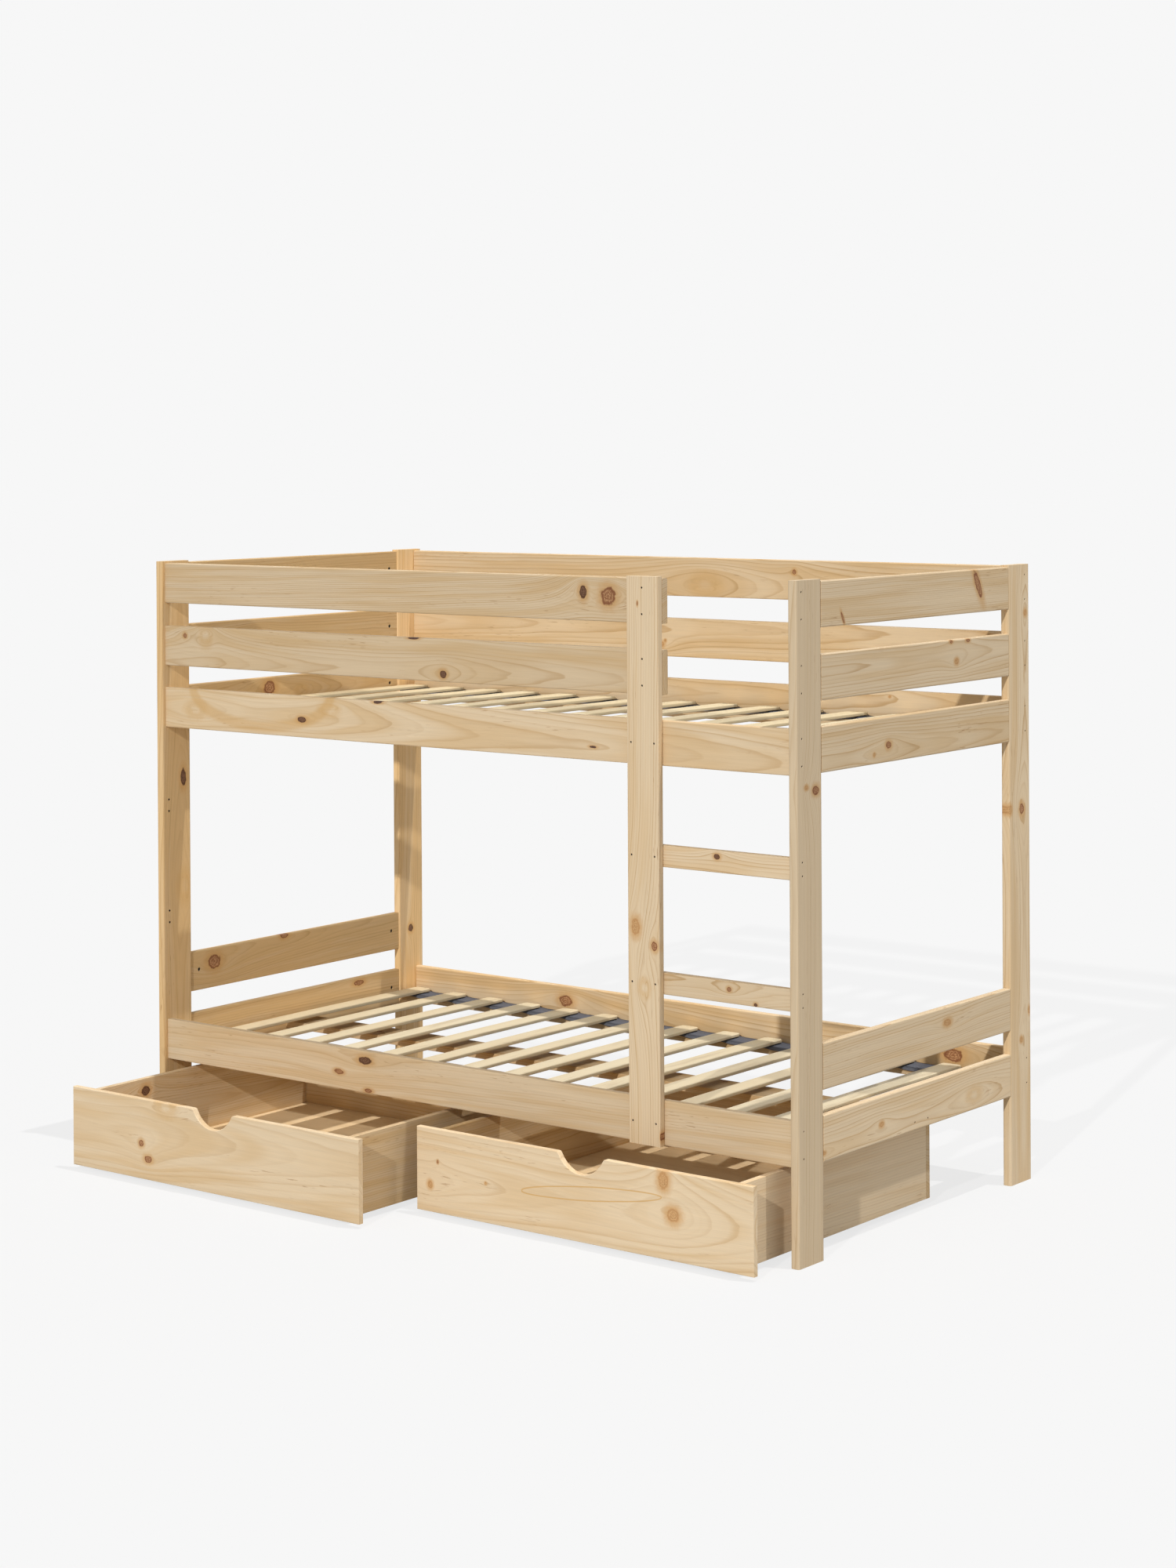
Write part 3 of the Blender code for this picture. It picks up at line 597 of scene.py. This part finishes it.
# Bare pine, as cut from a log whose pith runs beside the board. The distance from
# the pith, bent by slow noise, is counted in years, and each year darkens towards
# its end and stops sharply.
def pineBoard(node, seed):
    paint = Paint("pine_" + node)
    draw = np.random.default_rng(seed)
    (along, across, through), middle, lengths = boardAxes(node)
    look = chanceLook(draw, lengths[across] / 2)
    look.update(boardLooks.get(node, {}))
    place = paint.place()
    run, rise, deep = (place[axis] - middle[axis] for axis in (along, across, through))
    spots = boardKnots(node, draw)
    slant = knotSlants.get(node, 0.0)
    flowing, lift = bendRings(run, rise, () if slant else spots)
    point = (run, flowing, deep)

    def grain(name, at=point):
        scales, share, *rest = pineNoises[name]
        return paint.noise(at, scales, seed * share, *rest)

    pithRise, pithDeep = (part / 1000 for part in look["pith"])
    leanRise, leanDeep = (part / 1000 for part in look["lean"])
    ring = look["ring"] / 1000
    wander, ripple, shiver = (
        (grain(name) - 0.5) * pine[name] for name in ("wander", "ripple", "shiver")
    )
    sideways = flowing - run * leanRise - pithRise
    inwards = deep - run * leanDeep - pithDeep
    fromPith = paint.distance(sideways, inwards) + wander + ripple + shiver - lift
    years = fromPith / ring + pine["yearsBefore"]
    year = years.maths("FLOOR")
    late = years - year
    ramps = [paint.rise(late, low, high) * share for low, high, share in pine["lateRises"]]
    edge = (ramps[0] + ramps[1]) * paint.fall(late, *pine["lateStop"])

    # Slow changes of colour, the dark ends of the years, and short resin streaks
    low, high, most = pine["warmRise"]
    band = grain("band", (years * ring, run, deep))
    warm = paint.rise(band, low, high) * most + (look["gold"] - pine["warmLess"])
    warm = warm.maths("MAXIMUM", 0.0).maths("MINIMUM", 1.0)
    colour = paint.blend(warm, pine["pale"], pine["golden"])
    least = pine["yearLeast"]
    yearTone = paint.chance(year) * (1.0 - least) + least
    ringShare = edge * yearTone * (pine["lateDepth"] * look["depth"])
    colour = paint.blend(ringShare, colour, pine["late"])
    streaks = paint.rise(grain("resin"), *pine["streakRise"])
    streaks = streaks * paint.rise(grain("patch"), *pine["streakPlaces"]) * pine["streakDepth"]
    colour = paint.blend(streaks, colour, pine["streak"])
    for pixel, halves, slope, wide, strength in resinRings.get(node, ()):
        line = ringLine(paint, (run, rise), knotPlace(node, pixel), halves, slope, ripple)
        line = paint.fall(line, *(wide * share for share in pine["lineFall"]))
        colour = paint.blend(line * strength, colour, pine["amber"])

    ragged = (grain("ragged", (run, rise, deep)) - 0.5) * knotPaint["ragged"]
    cracks = grain("cracks", (run, rise, deep))
    for knotRun, knotRise, halfRun, halfRise, kind in spots:
        near = (run - knotRun - (rise - knotRise) * slant) / halfRun
        far = paint.distance(near, (rise - knotRise) / halfRise) + ragged
        colour = layKnot(paint, colour, far, kind, ragged, cracks)
    # painted shade inside the spare screw holes
    if node == sparePost["node"]:
        colour = darkenHoles(paint, colour, node, run, rise, deep)

    # Fine fibres and the brush marks of the saw
    fibre = grain("fibre")
    depth = pine["grainDepth"]
    shade = fibre * depth["fibre"] + grain("brush") * depth["brush"] + depth["least"]
    shade = shade * look["light"]
    paint.set(
        colour=paint.tint(colour, shade, shade, shade),
        roughness=fibre * 0.12 + (pine["roughness"] - 0.06),
        normal=paint.bump(fibre * 0.5 + edge * 0.5, pine["grainHeight"], 0.3),
        gloss=pine["gloss"],
    )
    return paint.material


# Gives a node of the frame its material, in every slot that it has
def dress(node, material):
    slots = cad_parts[node].material_slots
    if not slots:
        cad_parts[node].data.materials.append(material)
    for holder in slots:
        holder.material = material


def dressBoards():
    print("stage: pine boards")
    wooden = ("post_", "rail_", "guard_", "end_", "ladder_", "rung_", "ledger_", "centre_")
    for number, node in enumerate(sorted(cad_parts)):
        drawerBoard = node.endswith(("_front", "_back")) or "_side_" in node
        if node.startswith(wooden) or (node.startswith("drawer_") and drawerBoard):
            dress(node, pineBoard(node, number + pine["firstSeed"]))


panel = {
    "face": rgb(0.75, 0.567, 0.34),
    "fleck": rgb(0.61, 0.425, 0.223),
    "waves": (3.0, 11.0, 3.0),
    "bands": 34.0,  # about five for the whole swing of the slow noise
    "bandDepth": 0.35,
    "flecks": (30.0, 420.0, 30.0),
    "fleckDepth": 0.25,
    "gloss": 0.25,
}


# A rotary-cut veneer: bands where a slow noise, taken as an angle, has its sine near
# 1, and fine flecks
def dressPanels():
    print("stage: drawer bottoms")
    for number, node in enumerate(("drawer_left_bottom", "drawer_right_bottom")):
        paint = Paint("veneer_" + node)
        place = paint.place()
        waves = paint.noise(place, panel["waves"], number + 2.0, 4.0, 0.6)
        bands = ((waves * panel["bands"]).maths("SINE") * 0.5 + 0.5) ** 2.0
        flecks = paint.noise(place, panel["flecks"], number + 5.0)
        share = bands * panel["bandDepth"] + flecks * panel["fleckDepth"]
        paint.set(
            colour=paint.blend(share, panel["face"], panel["fleck"]),
            roughness=flecks * 0.1 + 0.5,
            normal=paint.bump(flecks, 0.0002, 0.2),
            gloss=panel["gloss"],
        )
        dress(node, paint.material)


# Turns a grid of points into a closed tube: four corners of neighbouring rings make
# each face, and the first and last ring are caps. rings has the shape (rings, points
# in a ring, 3), and uvs the same with 2.
def closedTube(name, rings, uvs=None):
    ringCount, around = rings.shape[:2]
    index = np.arange(ringCount * around).reshape(ringCount, around)
    first, second = index[:-1], index[1:]
    quads = np.stack((first, np.roll(first, -1, 1), np.roll(second, -1, 1), second), -1)
    caps = [index[0][::-1].tolist(), index[-1].tolist()]
    mesh = bpy.data.meshes.new(name)
    mesh.from_pydata(rings.reshape(-1, 3).tolist(), [], quads.reshape(-1, 4).tolist() + caps)
    if uvs is not None:
        corners = np.empty(len(mesh.loops), dtype=np.int32)
        mesh.loops.foreach_get("vertex_index", corners)
        layer = mesh.uv_layers.new(name="weave")
        layer.data.foreach_set("uv", uvs.reshape(-1, 2)[corners].astype(np.float32).ravel())
    mesh.update()
    return mesh


# A finished piece that rides on a body. Edges under an angle in degrees are smooth.
def addPiece(name, mesh, material, body, smoothUnder=40.0):
    mesh.shade_smooth()
    mesh.set_sharp_from_angle(angle=math.radians(smoothUnder))
    mesh.materials.append(material)
    piece = bpy.data.objects.new(name, mesh)
    bpy.context.scene.collection.objects.link(piece)
    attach(piece, body)
    return piece


slat = {
    "count": 15,
    "wide": 0.052,
    "thick": 0.008,
    "bow": 0.002,
    "corner": 0.007,  # radius of the corners seen from above
    "edge": 0.0018,  # radius of the eased edges
    "fromPost": 0.039,  # from the post to the middle of the first slat
    "fromRail": 0.013,  # from a bed rail to the tips
    "stations": 36,
    "tipFrom": 11,  # degrees of the first ring past the shoulder
    "tipRings": 8,
    "cornerRings": 5,
    "pale": rgb(0.8, 0.7, 0.49),
    "golden": rgb(0.69, 0.555, 0.345),
    "late": rgb(0.56, 0.42, 0.23),
    "smudge": rgb(0.52, 0.4, 0.245),
    # painted shade: the lower slats are darker, for the shade that the upper bunk casts on them
    "levelShade": {"lower": (0.92, 0.94, 0.97), "upper": (0.98, 1.0, 1.0)},
    "gloss": 0.25,
    "ownWays": (3.0, 0.7, 0.4),  # how far each slat's wood is moved from the next's
    "ring": 0.0056,
    "ringLean": 1.4,
    "wander": 0.02,
    "lateRise": (0.35, 0.95),
    "lateStop": (0.96, 1.0),
    "lateDepth": 0.5,
    "blotRise": (0.52, 0.72),
    "blotDepth": 0.55,
    "noises": {  # packing along, across and through, seed, detail and roughness
        "wander": ((1.4, 6, 6), 4),
        "cloud": ((2.4, 16, 16), 7, 3),
        "blots": ((5, 34, 34), 11, 3, 0.6),
        "fibre": ((18, 800, 800), 9),
    },
}


# Section of a slat: each corner of a rectangle plus a quarter of a circle. Returned
# apart as the corners' signs and the circle's x and z.
def slatSection():
    count = slat["cornerRings"]
    turn = np.concatenate([np.linspace(0, 90, count) + 90 * corner for corner in range(4)])
    turn = np.radians(turn)
    signX = np.repeat((1.0, -1.0, -1.0, 1.0), count)
    signZ = np.repeat((1.0, 1.0, -1.0, -1.0), count)
    return signX, signZ, slat["edge"] * np.cos(turn), slat["edge"] * np.sin(turn)


# A slat across the bed. The half width w is constant up to the shoulders, then narrows
# by r (1 - cos t) while the place moves on by r sin t, for t from 0 to 90 degrees, and
# the middle stands up by the bow in a parabola.
def slatMesh(name, x, yMiddle, half, underZ):
    corner = slat["corner"]
    shoulder = half - corner
    tip = np.radians(np.linspace(slat["tipFrom"], 90, slat["tipRings"]))
    straight = np.linspace(-shoulder, shoulder, slat["stations"])
    reach = corner * np.sin(tip)
    narrow = corner * (1 - np.cos(tip))
    y = np.concatenate((-(shoulder + reach)[::-1], straight, shoulder + reach))
    halfWide = slat["wide"] / 2 - np.concatenate((narrow[::-1], np.zeros(slat["stations"]), narrow))
    signX, signZ, roundX, roundZ = slatSection()
    flatX = halfWide[:, None] - slat["edge"]
    height = underZ + slat["bow"] * (1 - (y / half) ** 2) + slat["thick"] / 2
    rings = np.empty((len(y), len(signX), 3))
    rings[:, :, 0] = x + signX * flatX + roundX
    rings[:, :, 1] = (yMiddle + y)[:, None]
    rings[:, :, 2] = height[:, None] + signZ * (slat["thick"] / 2 - slat["edge"]) + roundZ
    return closedTube(name, rings[:, ::-1])


# Pale planed pine, with straight grain along the slat and its own tone for each slat, and painted
# shade that darkens the lower level
def slatPine(level, firstX, pitch):
    paint = Paint("slat_pine_" + level)
    place = paint.place()
    number = ((place[0] - firstX) / pitch + 0.5).maths("FLOOR")
    own = paint.chance(number + 0.5)
    axes = (1, 0, 2)  # along, across and through the slat
    shifted = [place[axis] + own * way for axis, way in zip(axes, slat["ownWays"])]
    wander, cloud, blots, fibre = (paint.noise(shifted, *row) for row in slat["noises"].values())
    years = shifted[1] + (wander - 0.5) * slat["wander"] + shifted[2] * slat["ringLean"]
    late = (years / slat["ring"] + 50.0).maths("FRACT")
    edge = paint.rise(late, *slat["lateRise"]) * paint.fall(late, *slat["lateStop"])
    warm = (cloud * 0.9 + own * 0.5 - 0.25).maths("MAXIMUM", 0.0)
    colour = paint.blend(warm, slat["pale"], slat["golden"])
    colour = paint.blend(edge * slat["lateDepth"], colour, slat["late"])
    blots = paint.rise(blots, *slat["blotRise"]) * slat["blotDepth"]
    colour = paint.blend(blots, colour, slat["smudge"])
    paint.set(
        colour=paint.tint(colour, *slat["levelShade"][level]),
        roughness=fibre * 0.12 + 0.48,
        normal=paint.bump(fibre, 0.0003, 0.3),
        gloss=slat["gloss"],
    )
    return paint.material


webbing = {
    "wide": 0.066,  # it covers the ledger, and the rest hangs over the inner edge
    "fromRail": 0.001,
    "hang": 0.006,
    "fold": 0.007,  # along the strap's width, where it bends down
    "thick": 0.0014,
    "lift": 0.0034,  # how far a slat's staple draws it up between two flat stretches
    "clear": 0.0004,  # between the ledger and the strap
    "stations": 421,
    "yarn": 0.0017,
    "rowShare": 0.65,
    "selvedge": (0.44, 0.46),  # where it begins, in parts of the width
    "dark": rgb(0.04, 0.046, 0.062),
    "light": rgb(0.12, 0.128, 0.16),
    "stitch": rgb(0.2, 0.205, 0.23),
}


# A strap along a ledger. Its height swings between the ledger and the slats, once for
# each slat, as a raised cosine to the third power. Past the ledger's inner edge it
# droops: for a way s beyond the bend it falls by hang (s / fold)^2.
def strapMesh(name, lowX, highX, railY, inward, ledgerTop, firstX, pitch):
    x = np.linspace(lowX, highX, webbing["stations"])
    swing = (0.5 + 0.5 * np.cos(2 * np.pi * (x - firstX) / pitch)) ** 3
    height = ledgerTop + webbing["clear"] + webbing["thick"] / 2 + webbing["lift"] * swing
    corner = webbing["thick"] / 2
    far = webbing["wide"] - corner
    bend = webbing["wide"] - webbing["fold"]
    top = np.concatenate(((corner, bend / 2), np.linspace(bend, far, 6)))
    across = np.concatenate((top, (webbing["wide"],), top[::-1], (0.0,)))
    rise = np.concatenate((np.full(len(top), corner), (0.0,), np.full(len(top), -corner), (0.0,)))
    droop = webbing["hang"] * (np.maximum(across - bend, 0.0) / webbing["fold"]) ** 2
    rings = np.empty((len(x), len(across), 3))
    rings[:, :, 0] = x[:, None]
    rings[:, :, 1] = railY + inward * (webbing["fromRail"] + across)
    rings[:, :, 2] = height[:, None] + rise - droop
    uvs = np.empty((len(x), len(across), 2))
    uvs[:, :, 0] = (x - lowX)[:, None]
    uvs[:, :, 1] = across - webbing["wide"] / 2
    if inward > 0:
        rings, uvs = rings[:, ::-1], uvs[:, ::-1]
    return closedTube(name, rings, uvs)


# Herringbone webbing: sine waves across and along the strap, where the rows zigzag
# four times over its width
def webbingCloth():
    paint = Paint("webbing")
    run, across, unused = paint.split(paint.add("ShaderNodeUVMap", {"uv_map": "weave"}))
    wide = webbing["wide"]
    zigzag = (across * (2.0 / wide) * 4.0).maths("PINGPONG", 1.0) * (wide / 8.0)
    rows = ((run + zigzag) * (2 * math.pi / webbing["yarn"])).maths("SINE") * 0.5 + 0.5
    ends = (across * (2 * math.pi / (webbing["yarn"] * 0.8))).maths("SINE") * 0.5 + 0.5
    weave = rows * webbing["rowShare"] + ends * (1.0 - webbing["rowShare"])
    fromMiddle = across.maths("ABSOLUTE")
    selvedge = paint.rise(fromMiddle, *(wide * share for share in webbing["selvedge"]))
    fuzz = paint.noise((run, across, run), (900.0, 900.0, 0.0), 1.0)
    colour = paint.blend(weave * 0.8 + fuzz * 0.3, webbing["dark"], webbing["light"])
    colour = paint.blend(selvedge * weave * 0.6, colour, webbing["stitch"])
    paint.set(colour=colour, roughness=fuzz * 0.1 + 0.78, normal=paint.bump(weave, 0.0004, 0.7))
    return paint.material


# Wheels and brackets, out of sight under the drawers
underDrawers = {
    "plastic": (rgb(0.03, 0.03, 0.032), rgb(0.05, 0.05, 0.053)),
    "zinc": (rgb(0.42, 0.43, 0.44), rgb(0.56, 0.57, 0.585)),
}


# Moulded plastic with a fine even skin
def mouldedPlastic():
    paint = Paint("mouldedPlastic")
    skin = paint.noise(paint.place(), (900.0, 900.0, 900.0), 1.0, 2.0)
    paint.set(
        colour=paint.blend(skin, *underDrawers["plastic"]),
        roughness=skin * 0.2 + 0.38,
        normal=paint.bump(skin, 0.0001, 0.3),
    )
    return paint.material


# Zinc plate: patches of crystal that shine a little differently
def zincPlate():
    paint = Paint("zincPlate")
    place = paint.place()
    spot = paint.vector(*(part * 260.0 for part in place))
    sockets = {"Vector": spot, "Scale": 1.0}
    crystals = paint.add("ShaderNodeTexVoronoi", {"feature": "SMOOTH_F1"}, sockets)
    fine = paint.noise(place, (1500.0, 1500.0, 1500.0), 3.0)
    paint.set(
        colour=paint.blend(crystals, *underDrawers["zinc"]),
        roughness=crystals * 0.25 + fine * 0.1 + 0.25,
        metallic=1.0,
        normal=paint.bump(fine, 0.0001, 0.2),
    )
    return paint.material


def dressRunningGear():
    print("stage: wheels and brackets")
    plastic, zinc = mouldedPlastic(), zincPlate()
    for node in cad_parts:
        if "_wheel_" in node:
            dress(node, plastic)
        elif "_bracket_" in node:
            dress(node, zinc)


# Screws sit sunk in the holes that the boards have. Lengths are metres.
screw = {
    "railSpread": 0.0585,  # between the two screws in a rail's end
    "rungSpread": 0.029,
    "beamSpread": 0.054,
    "drawerSpread": 0.11,
    "ladderIn": 0.0115,  # from the ladder post's edge
    "pocketFromEnd": 0.029,
    "pocketUp": 0.003,
    "hole": (0.0025, 0.006),  # radius and depth
    "pocket": (0.005, 0.01),
    "around": 18,
    # Rings of the head, from the end of its wall to the socket's floor: the share of the
    # hole's radius, whether it is a hexagon, and the share of the hole's depth
    "profile": (
        (0.95, False, 0.97),
        (0.95, False, 0.24),
        (0.8, False, 0.16),
        (0.5, True, 0.15),
        (0.46, True, 0.55),
        (0.1, False, 0.6),
    ),
    "steel": (rgb(0.022, 0.021, 0.02), rgb(0.07, 0.067, 0.064)),
}


# Heads with a hexagonal socket, one for each spot. A spot is a hole's mouth, the way
# into the wood, and the hole's radius and depth. The profile is turned about the
# hole's axis, and the socket's rings follow a hexagon: r = r0 cos 30 / cos(t - 30)
# for t within each sixth of a turn.
def screwMesh(name, spots):
    turn = np.arange(screw["around"]) * 2 * np.pi / screw["around"]
    hexagon = math.cos(math.pi / 6) / np.cos(turn % (np.pi / 3) - np.pi / 6)
    circle = np.ones_like(turn)
    shares, sixSided, depths = zip(*screw["profile"])
    radii = np.stack([s * (hexagon if six else circle) for s, six in zip(shares, sixSided)])
    depths = np.array(depths)
    mouths, inward, radius, deep = (np.array(part, dtype=float) for part in zip(*spots))
    level = np.where(np.abs(inward[:, :1]) > 0.5, (0.0, 1.0, 0.0), (1.0, 0.0, 0.0))
    square = np.cross(inward, level)
    wide = radius[:, None, None] * radii
    points = (
        mouths[:, None, None, :]
        + inward[:, None, None, :] * (deep[:, None] * depths)[:, :, None, None]
        + level[:, None, None, :] * (wide * np.cos(turn))[..., None]
        + square[:, None, None, :] * (wide * np.sin(turn))[..., None]
    )
    index = np.arange(len(spots) * radii.size).reshape(len(spots), *radii.shape)
    first, second = index[:, :-1], index[:, 1:]
    quads = np.stack((first, second, np.roll(second, -1, 2), np.roll(first, -1, 2)), -1)
    caps = np.concatenate((index[:, 0], index[:, -1, ::-1]))
    faces = quads.reshape(-1, 4).tolist() + caps.tolist()
    mesh = bpy.data.meshes.new(name)
    mesh.from_pydata(points.reshape(-1, 3).tolist(), [], faces)
    mesh.update()
    return mesh


# Blackened steel, rubbed brighter in fine scratches
def blackenedSteel():
    paint = Paint("blackenedSteel")
    place = paint.place()
    rub = paint.noise(place, (700.0, 700.0, 2600.0), 2.0, 3.0)
    paint.set(
        colour=paint.blend(paint.rise(rub, 0.45, 0.7), *screw["steel"]),
        roughness=rub * 0.25 + 0.3,
        metallic=0.5,
        normal=paint.bump(rub, 0.0001, 0.2),
    )
    return paint.material


# Every screw of the bed's frame: mouth, way in, radius, depth
def frameSpots():
    hole, pocket = screw["hole"], screw["pocket"]
    spots = []
    for side, sign in (("left", -1), ("right", 1)):
        for row in ("front", "rear"):
            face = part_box(f"post_{row}_{side}")[0 if sign < 0 else 1].x
            for rail in ("rail_{}_lower", "rail_{}_upper", "guard_{}_low", "guard_{}_top"):
                middle = boxMiddle(rail.format(row))
                for z in spread(middle.z, screw["railSpread"]):
                    spots.append(((face, middle.y, z), (-sign, 0, 0), *hole))
        for board in ("lower", "board", "upper", "guard_low", "guard_top"):
            low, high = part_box(f"end_{side}_{board}")
            inner, outer = (high.x, low.x) if sign < 0 else (low.x, high.x)
            height = (low.z + high.z) / 2 + screw["pocketUp"]
            for y in (low.y + screw["pocketFromEnd"], high.y - screw["pocketFromEnd"]):
                spots.append(((inner, y, height), (sign, 0, 0), *pocket))
            if board == "lower":
                height = boxMiddle("centre_beam").z
                across = spread((low.y + high.y) / 2, screw["beamSpread"])
                spots += [((outer, y, height), (-sign, 0, 0), *hole) for y in across]
    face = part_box("post_front_right")[1].x
    for rung in ("rung_lower", "rung_upper"):
        middle = boxMiddle(rung)
        for z in spread(middle.z, screw["rungSpread"]):
            spots.append(((face, middle.y, z), (-1, 0, 0), *hole))
    low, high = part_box("ladder_post")
    for board in ("guard_front_low", "guard_front_top"):
        for z in spread(boxMiddle(board).z, screw["railSpread"]):
            spots.append((((low.x + high.x) / 2, low.y, z), (0, 1, 0), *hole))
    for board in ("rung_lower", "rung_upper", "rail_front_lower", "rail_front_upper"):
        for x in (low.x + screw["ladderIn"], high.x - screw["ladderIn"]):
            spots.append(((x, low.y, boxMiddle(board).z), (0, 1, 0), *hole))
    return spots


# The screws through a drawer's back into the ends of its sides
def drawerSpots(drawer):
    low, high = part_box(drawer + "_back")
    columns = [boxMiddle(f"{drawer}_side_{side}").x for side in ("left", "right")]
    heights = spread((low.z + high.z) / 2, screw["drawerSpread"])
    hole = screw["hole"]
    return [((x, high.y, z), (0, -1, 0), *hole) for x in columns for z in heights]


def makeScrews():
    print("stage: screws")
    steel = blackenedSteel()
    for body in ("bed_frame", "drawer_left", "drawer_right"):
        spots = frameSpots() if body == "bed_frame" else drawerSpots(body)
        name = body + "_screws"
        addPiece(name, screwMesh(name, spots), steel, body, 30.0)


# Slats at even distances from post to post, and a strap on each ledger
def makeSlatBases():
    print("stage: slats and webbing")
    cloth = webbingCloth()
    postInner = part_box("rail_front_lower")[1].x
    firstX = slat["fromPost"] - postInner
    pitch = -2 * firstX / (slat["count"] - 1)
    for level in ("lower", "upper"):
        node = "slat_base_" + level
        low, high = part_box(node)
        underZ = high.z - slat["bow"] - slat["thick"]
        yMiddle = (high.y + low.y) / 2
        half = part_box(f"rail_rear_{level}")[0].y - slat["fromRail"] - yMiddle
        wood = slatPine(level, firstX, pitch)
        for number in range(slat["count"]):
            name = f"slat_{level}_{number + 1:02d}"
            mesh = slatMesh(name, firstX + number * pitch, yMiddle, half, underZ)
            piece = addPiece(name, mesh, wood, "bed_frame")
            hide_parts(node)
        for row in ("front", "rear"):
            ledgerLow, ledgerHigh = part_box(f"ledger_{level}_{row}")
            name = f"strap_{level}_{row}"
            railY, inward = (ledgerLow.y, 1) if row == "front" else (ledgerHigh.y, -1)
            mesh = strapMesh(name, low.x, high.x, railY, inward, ledgerHigh.z, firstX, pitch)
            piece = addPiece(name, mesh, cloth, "bed_frame", 60.0)
            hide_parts(node)


studio = {
    "backdrop": grey(0.93),
    "seenBy": ("Is Camera Ray", "Is Glossy Ray", "Is Transmission Ray"),
    "floor": grey(0.42),  # how much light the floor throws back at the bed
    "floorReach": 60.0,
    "shadow": 0.18,  # how much of the shadow on the floor is seen
    "sky": (0.405, 0.413, 0.43),
    "suns": {  # where the light comes from, its strength, its size in degrees, its colour
        "frontLight": ((0.28, -1.0, 0.56), 1.76, 1.0, (1.0, 0.985, 0.965)),
        "topLight": ((0.255, 0.09, 1.0), 2.05, 0.6, (1.0, 0.99, 0.975)),
    },
}


# A sun whose light comes from a direction
def addSun(name, direction, strength, size, colour):
    data = bpy.data.lights.new(name, "SUN")
    data.energy = strength
    data.angle = math.radians(size)
    data.color = colour
    sun = bpy.data.objects.new(name, data)
    sun.rotation_mode = "QUATERNION"
    sun.rotation_quaternion = Vector(direction).to_track_quat("Z", "Y")
    bpy.context.scene.collection.objects.link(sun)


# The rays of the camera, and those that metal or glass sends on, see the backdrop.
# All others meet what lights the bed.
def showBackdrop(nodes, lighting, backdrop, output):
    rays = [nodes.add("ShaderNodeLightPath", output=kind) for kind in studio["seenBy"]]
    share = rays[0].maths("MAXIMUM", rays[1]).maths("MAXIMUM", rays[2])
    mixed = nodes.add("ShaderNodeMixShader", None, {0: share, 1: lighting, 2: backdrop})
    nodes.feed(nodes.tree.nodes[output].inputs["Surface"], mixed)


# The light that a level white surface gets, times pi: the sky's from all around, and
# each sun's by its height
def levelLight():
    light = [part * math.pi for part in studio["sky"]]
    for direction, strength, size, colour in studio["suns"].values():
        slope = Vector(direction).normalized().z * strength
        light = [share + slope * part for share, part in zip(light, colour)]
    return light


def makeSky():
    world = bpy.data.worlds.new("studio")
    bpy.context.scene.world = world
    world.use_nodes = True
    nodes = Nodes(world.node_tree)
    sky = nodes.tree.nodes["Background"]
    sky.inputs["Color"].default_value = rgb(*studio["sky"])
    seen = nodes.add("ShaderNodeBackground", None, {"Color": studio["backdrop"]})
    showBackdrop(nodes, Field(nodes, sky.outputs[0]), seen, "World Output")


# A floor that looks as bright as the backdrop: mostly its own glow, and for the rest
# a surface that would be as bright where nothing shades it
def makeFloor():
    reach = studio["floorReach"]
    corners = [(x * reach, y * reach, 0) for x, y in ((-1, -1), (1, -1), (1, 1), (-1, 1))]
    mesh = bpy.data.meshes.new("floor")
    mesh.from_pydata(corners, [], [(0, 1, 2, 3)])
    floor = bpy.data.objects.new("floor", mesh)
    bpy.context.scene.collection.objects.link(floor)
    material = bpy.data.materials.new("floor")
    material.use_nodes = True
    nodes = Nodes(material.node_tree)
    nodes.tree.nodes.remove(nodes.tree.nodes["Principled BSDF"])
    plain = nodes.add("ShaderNodeBsdfDiffuse", None, {"Color": studio["floor"]})
    bright = studio["backdrop"][0] * math.pi
    litColour = rgb(*(bright / share for share in levelLight()))
    lit = nodes.add("ShaderNodeBsdfDiffuse", None, {"Color": litColour})
    glow = nodes.add("ShaderNodeEmission", None, {"Color": studio["backdrop"]})
    seen = nodes.add("ShaderNodeMixShader", None, {0: studio["shadow"], 1: glow, 2: lit})
    showBackdrop(nodes, plain, seen, "Material Output")
    mesh.materials.append(material)


def makeStudio():
    print("stage: studio")
    makeSky()
    makeFloor()
    for name, sun in studio["suns"].items():
        addSun(name, *sun)
    bpy.context.scene.view_settings.view_transform = "Standard"


makeCamera()
makeStudio()
dressBoards()
dressPanels()
makeSlatBases()
dressRunningGear()
makeScrews()

bpy.context.view_layer.update()
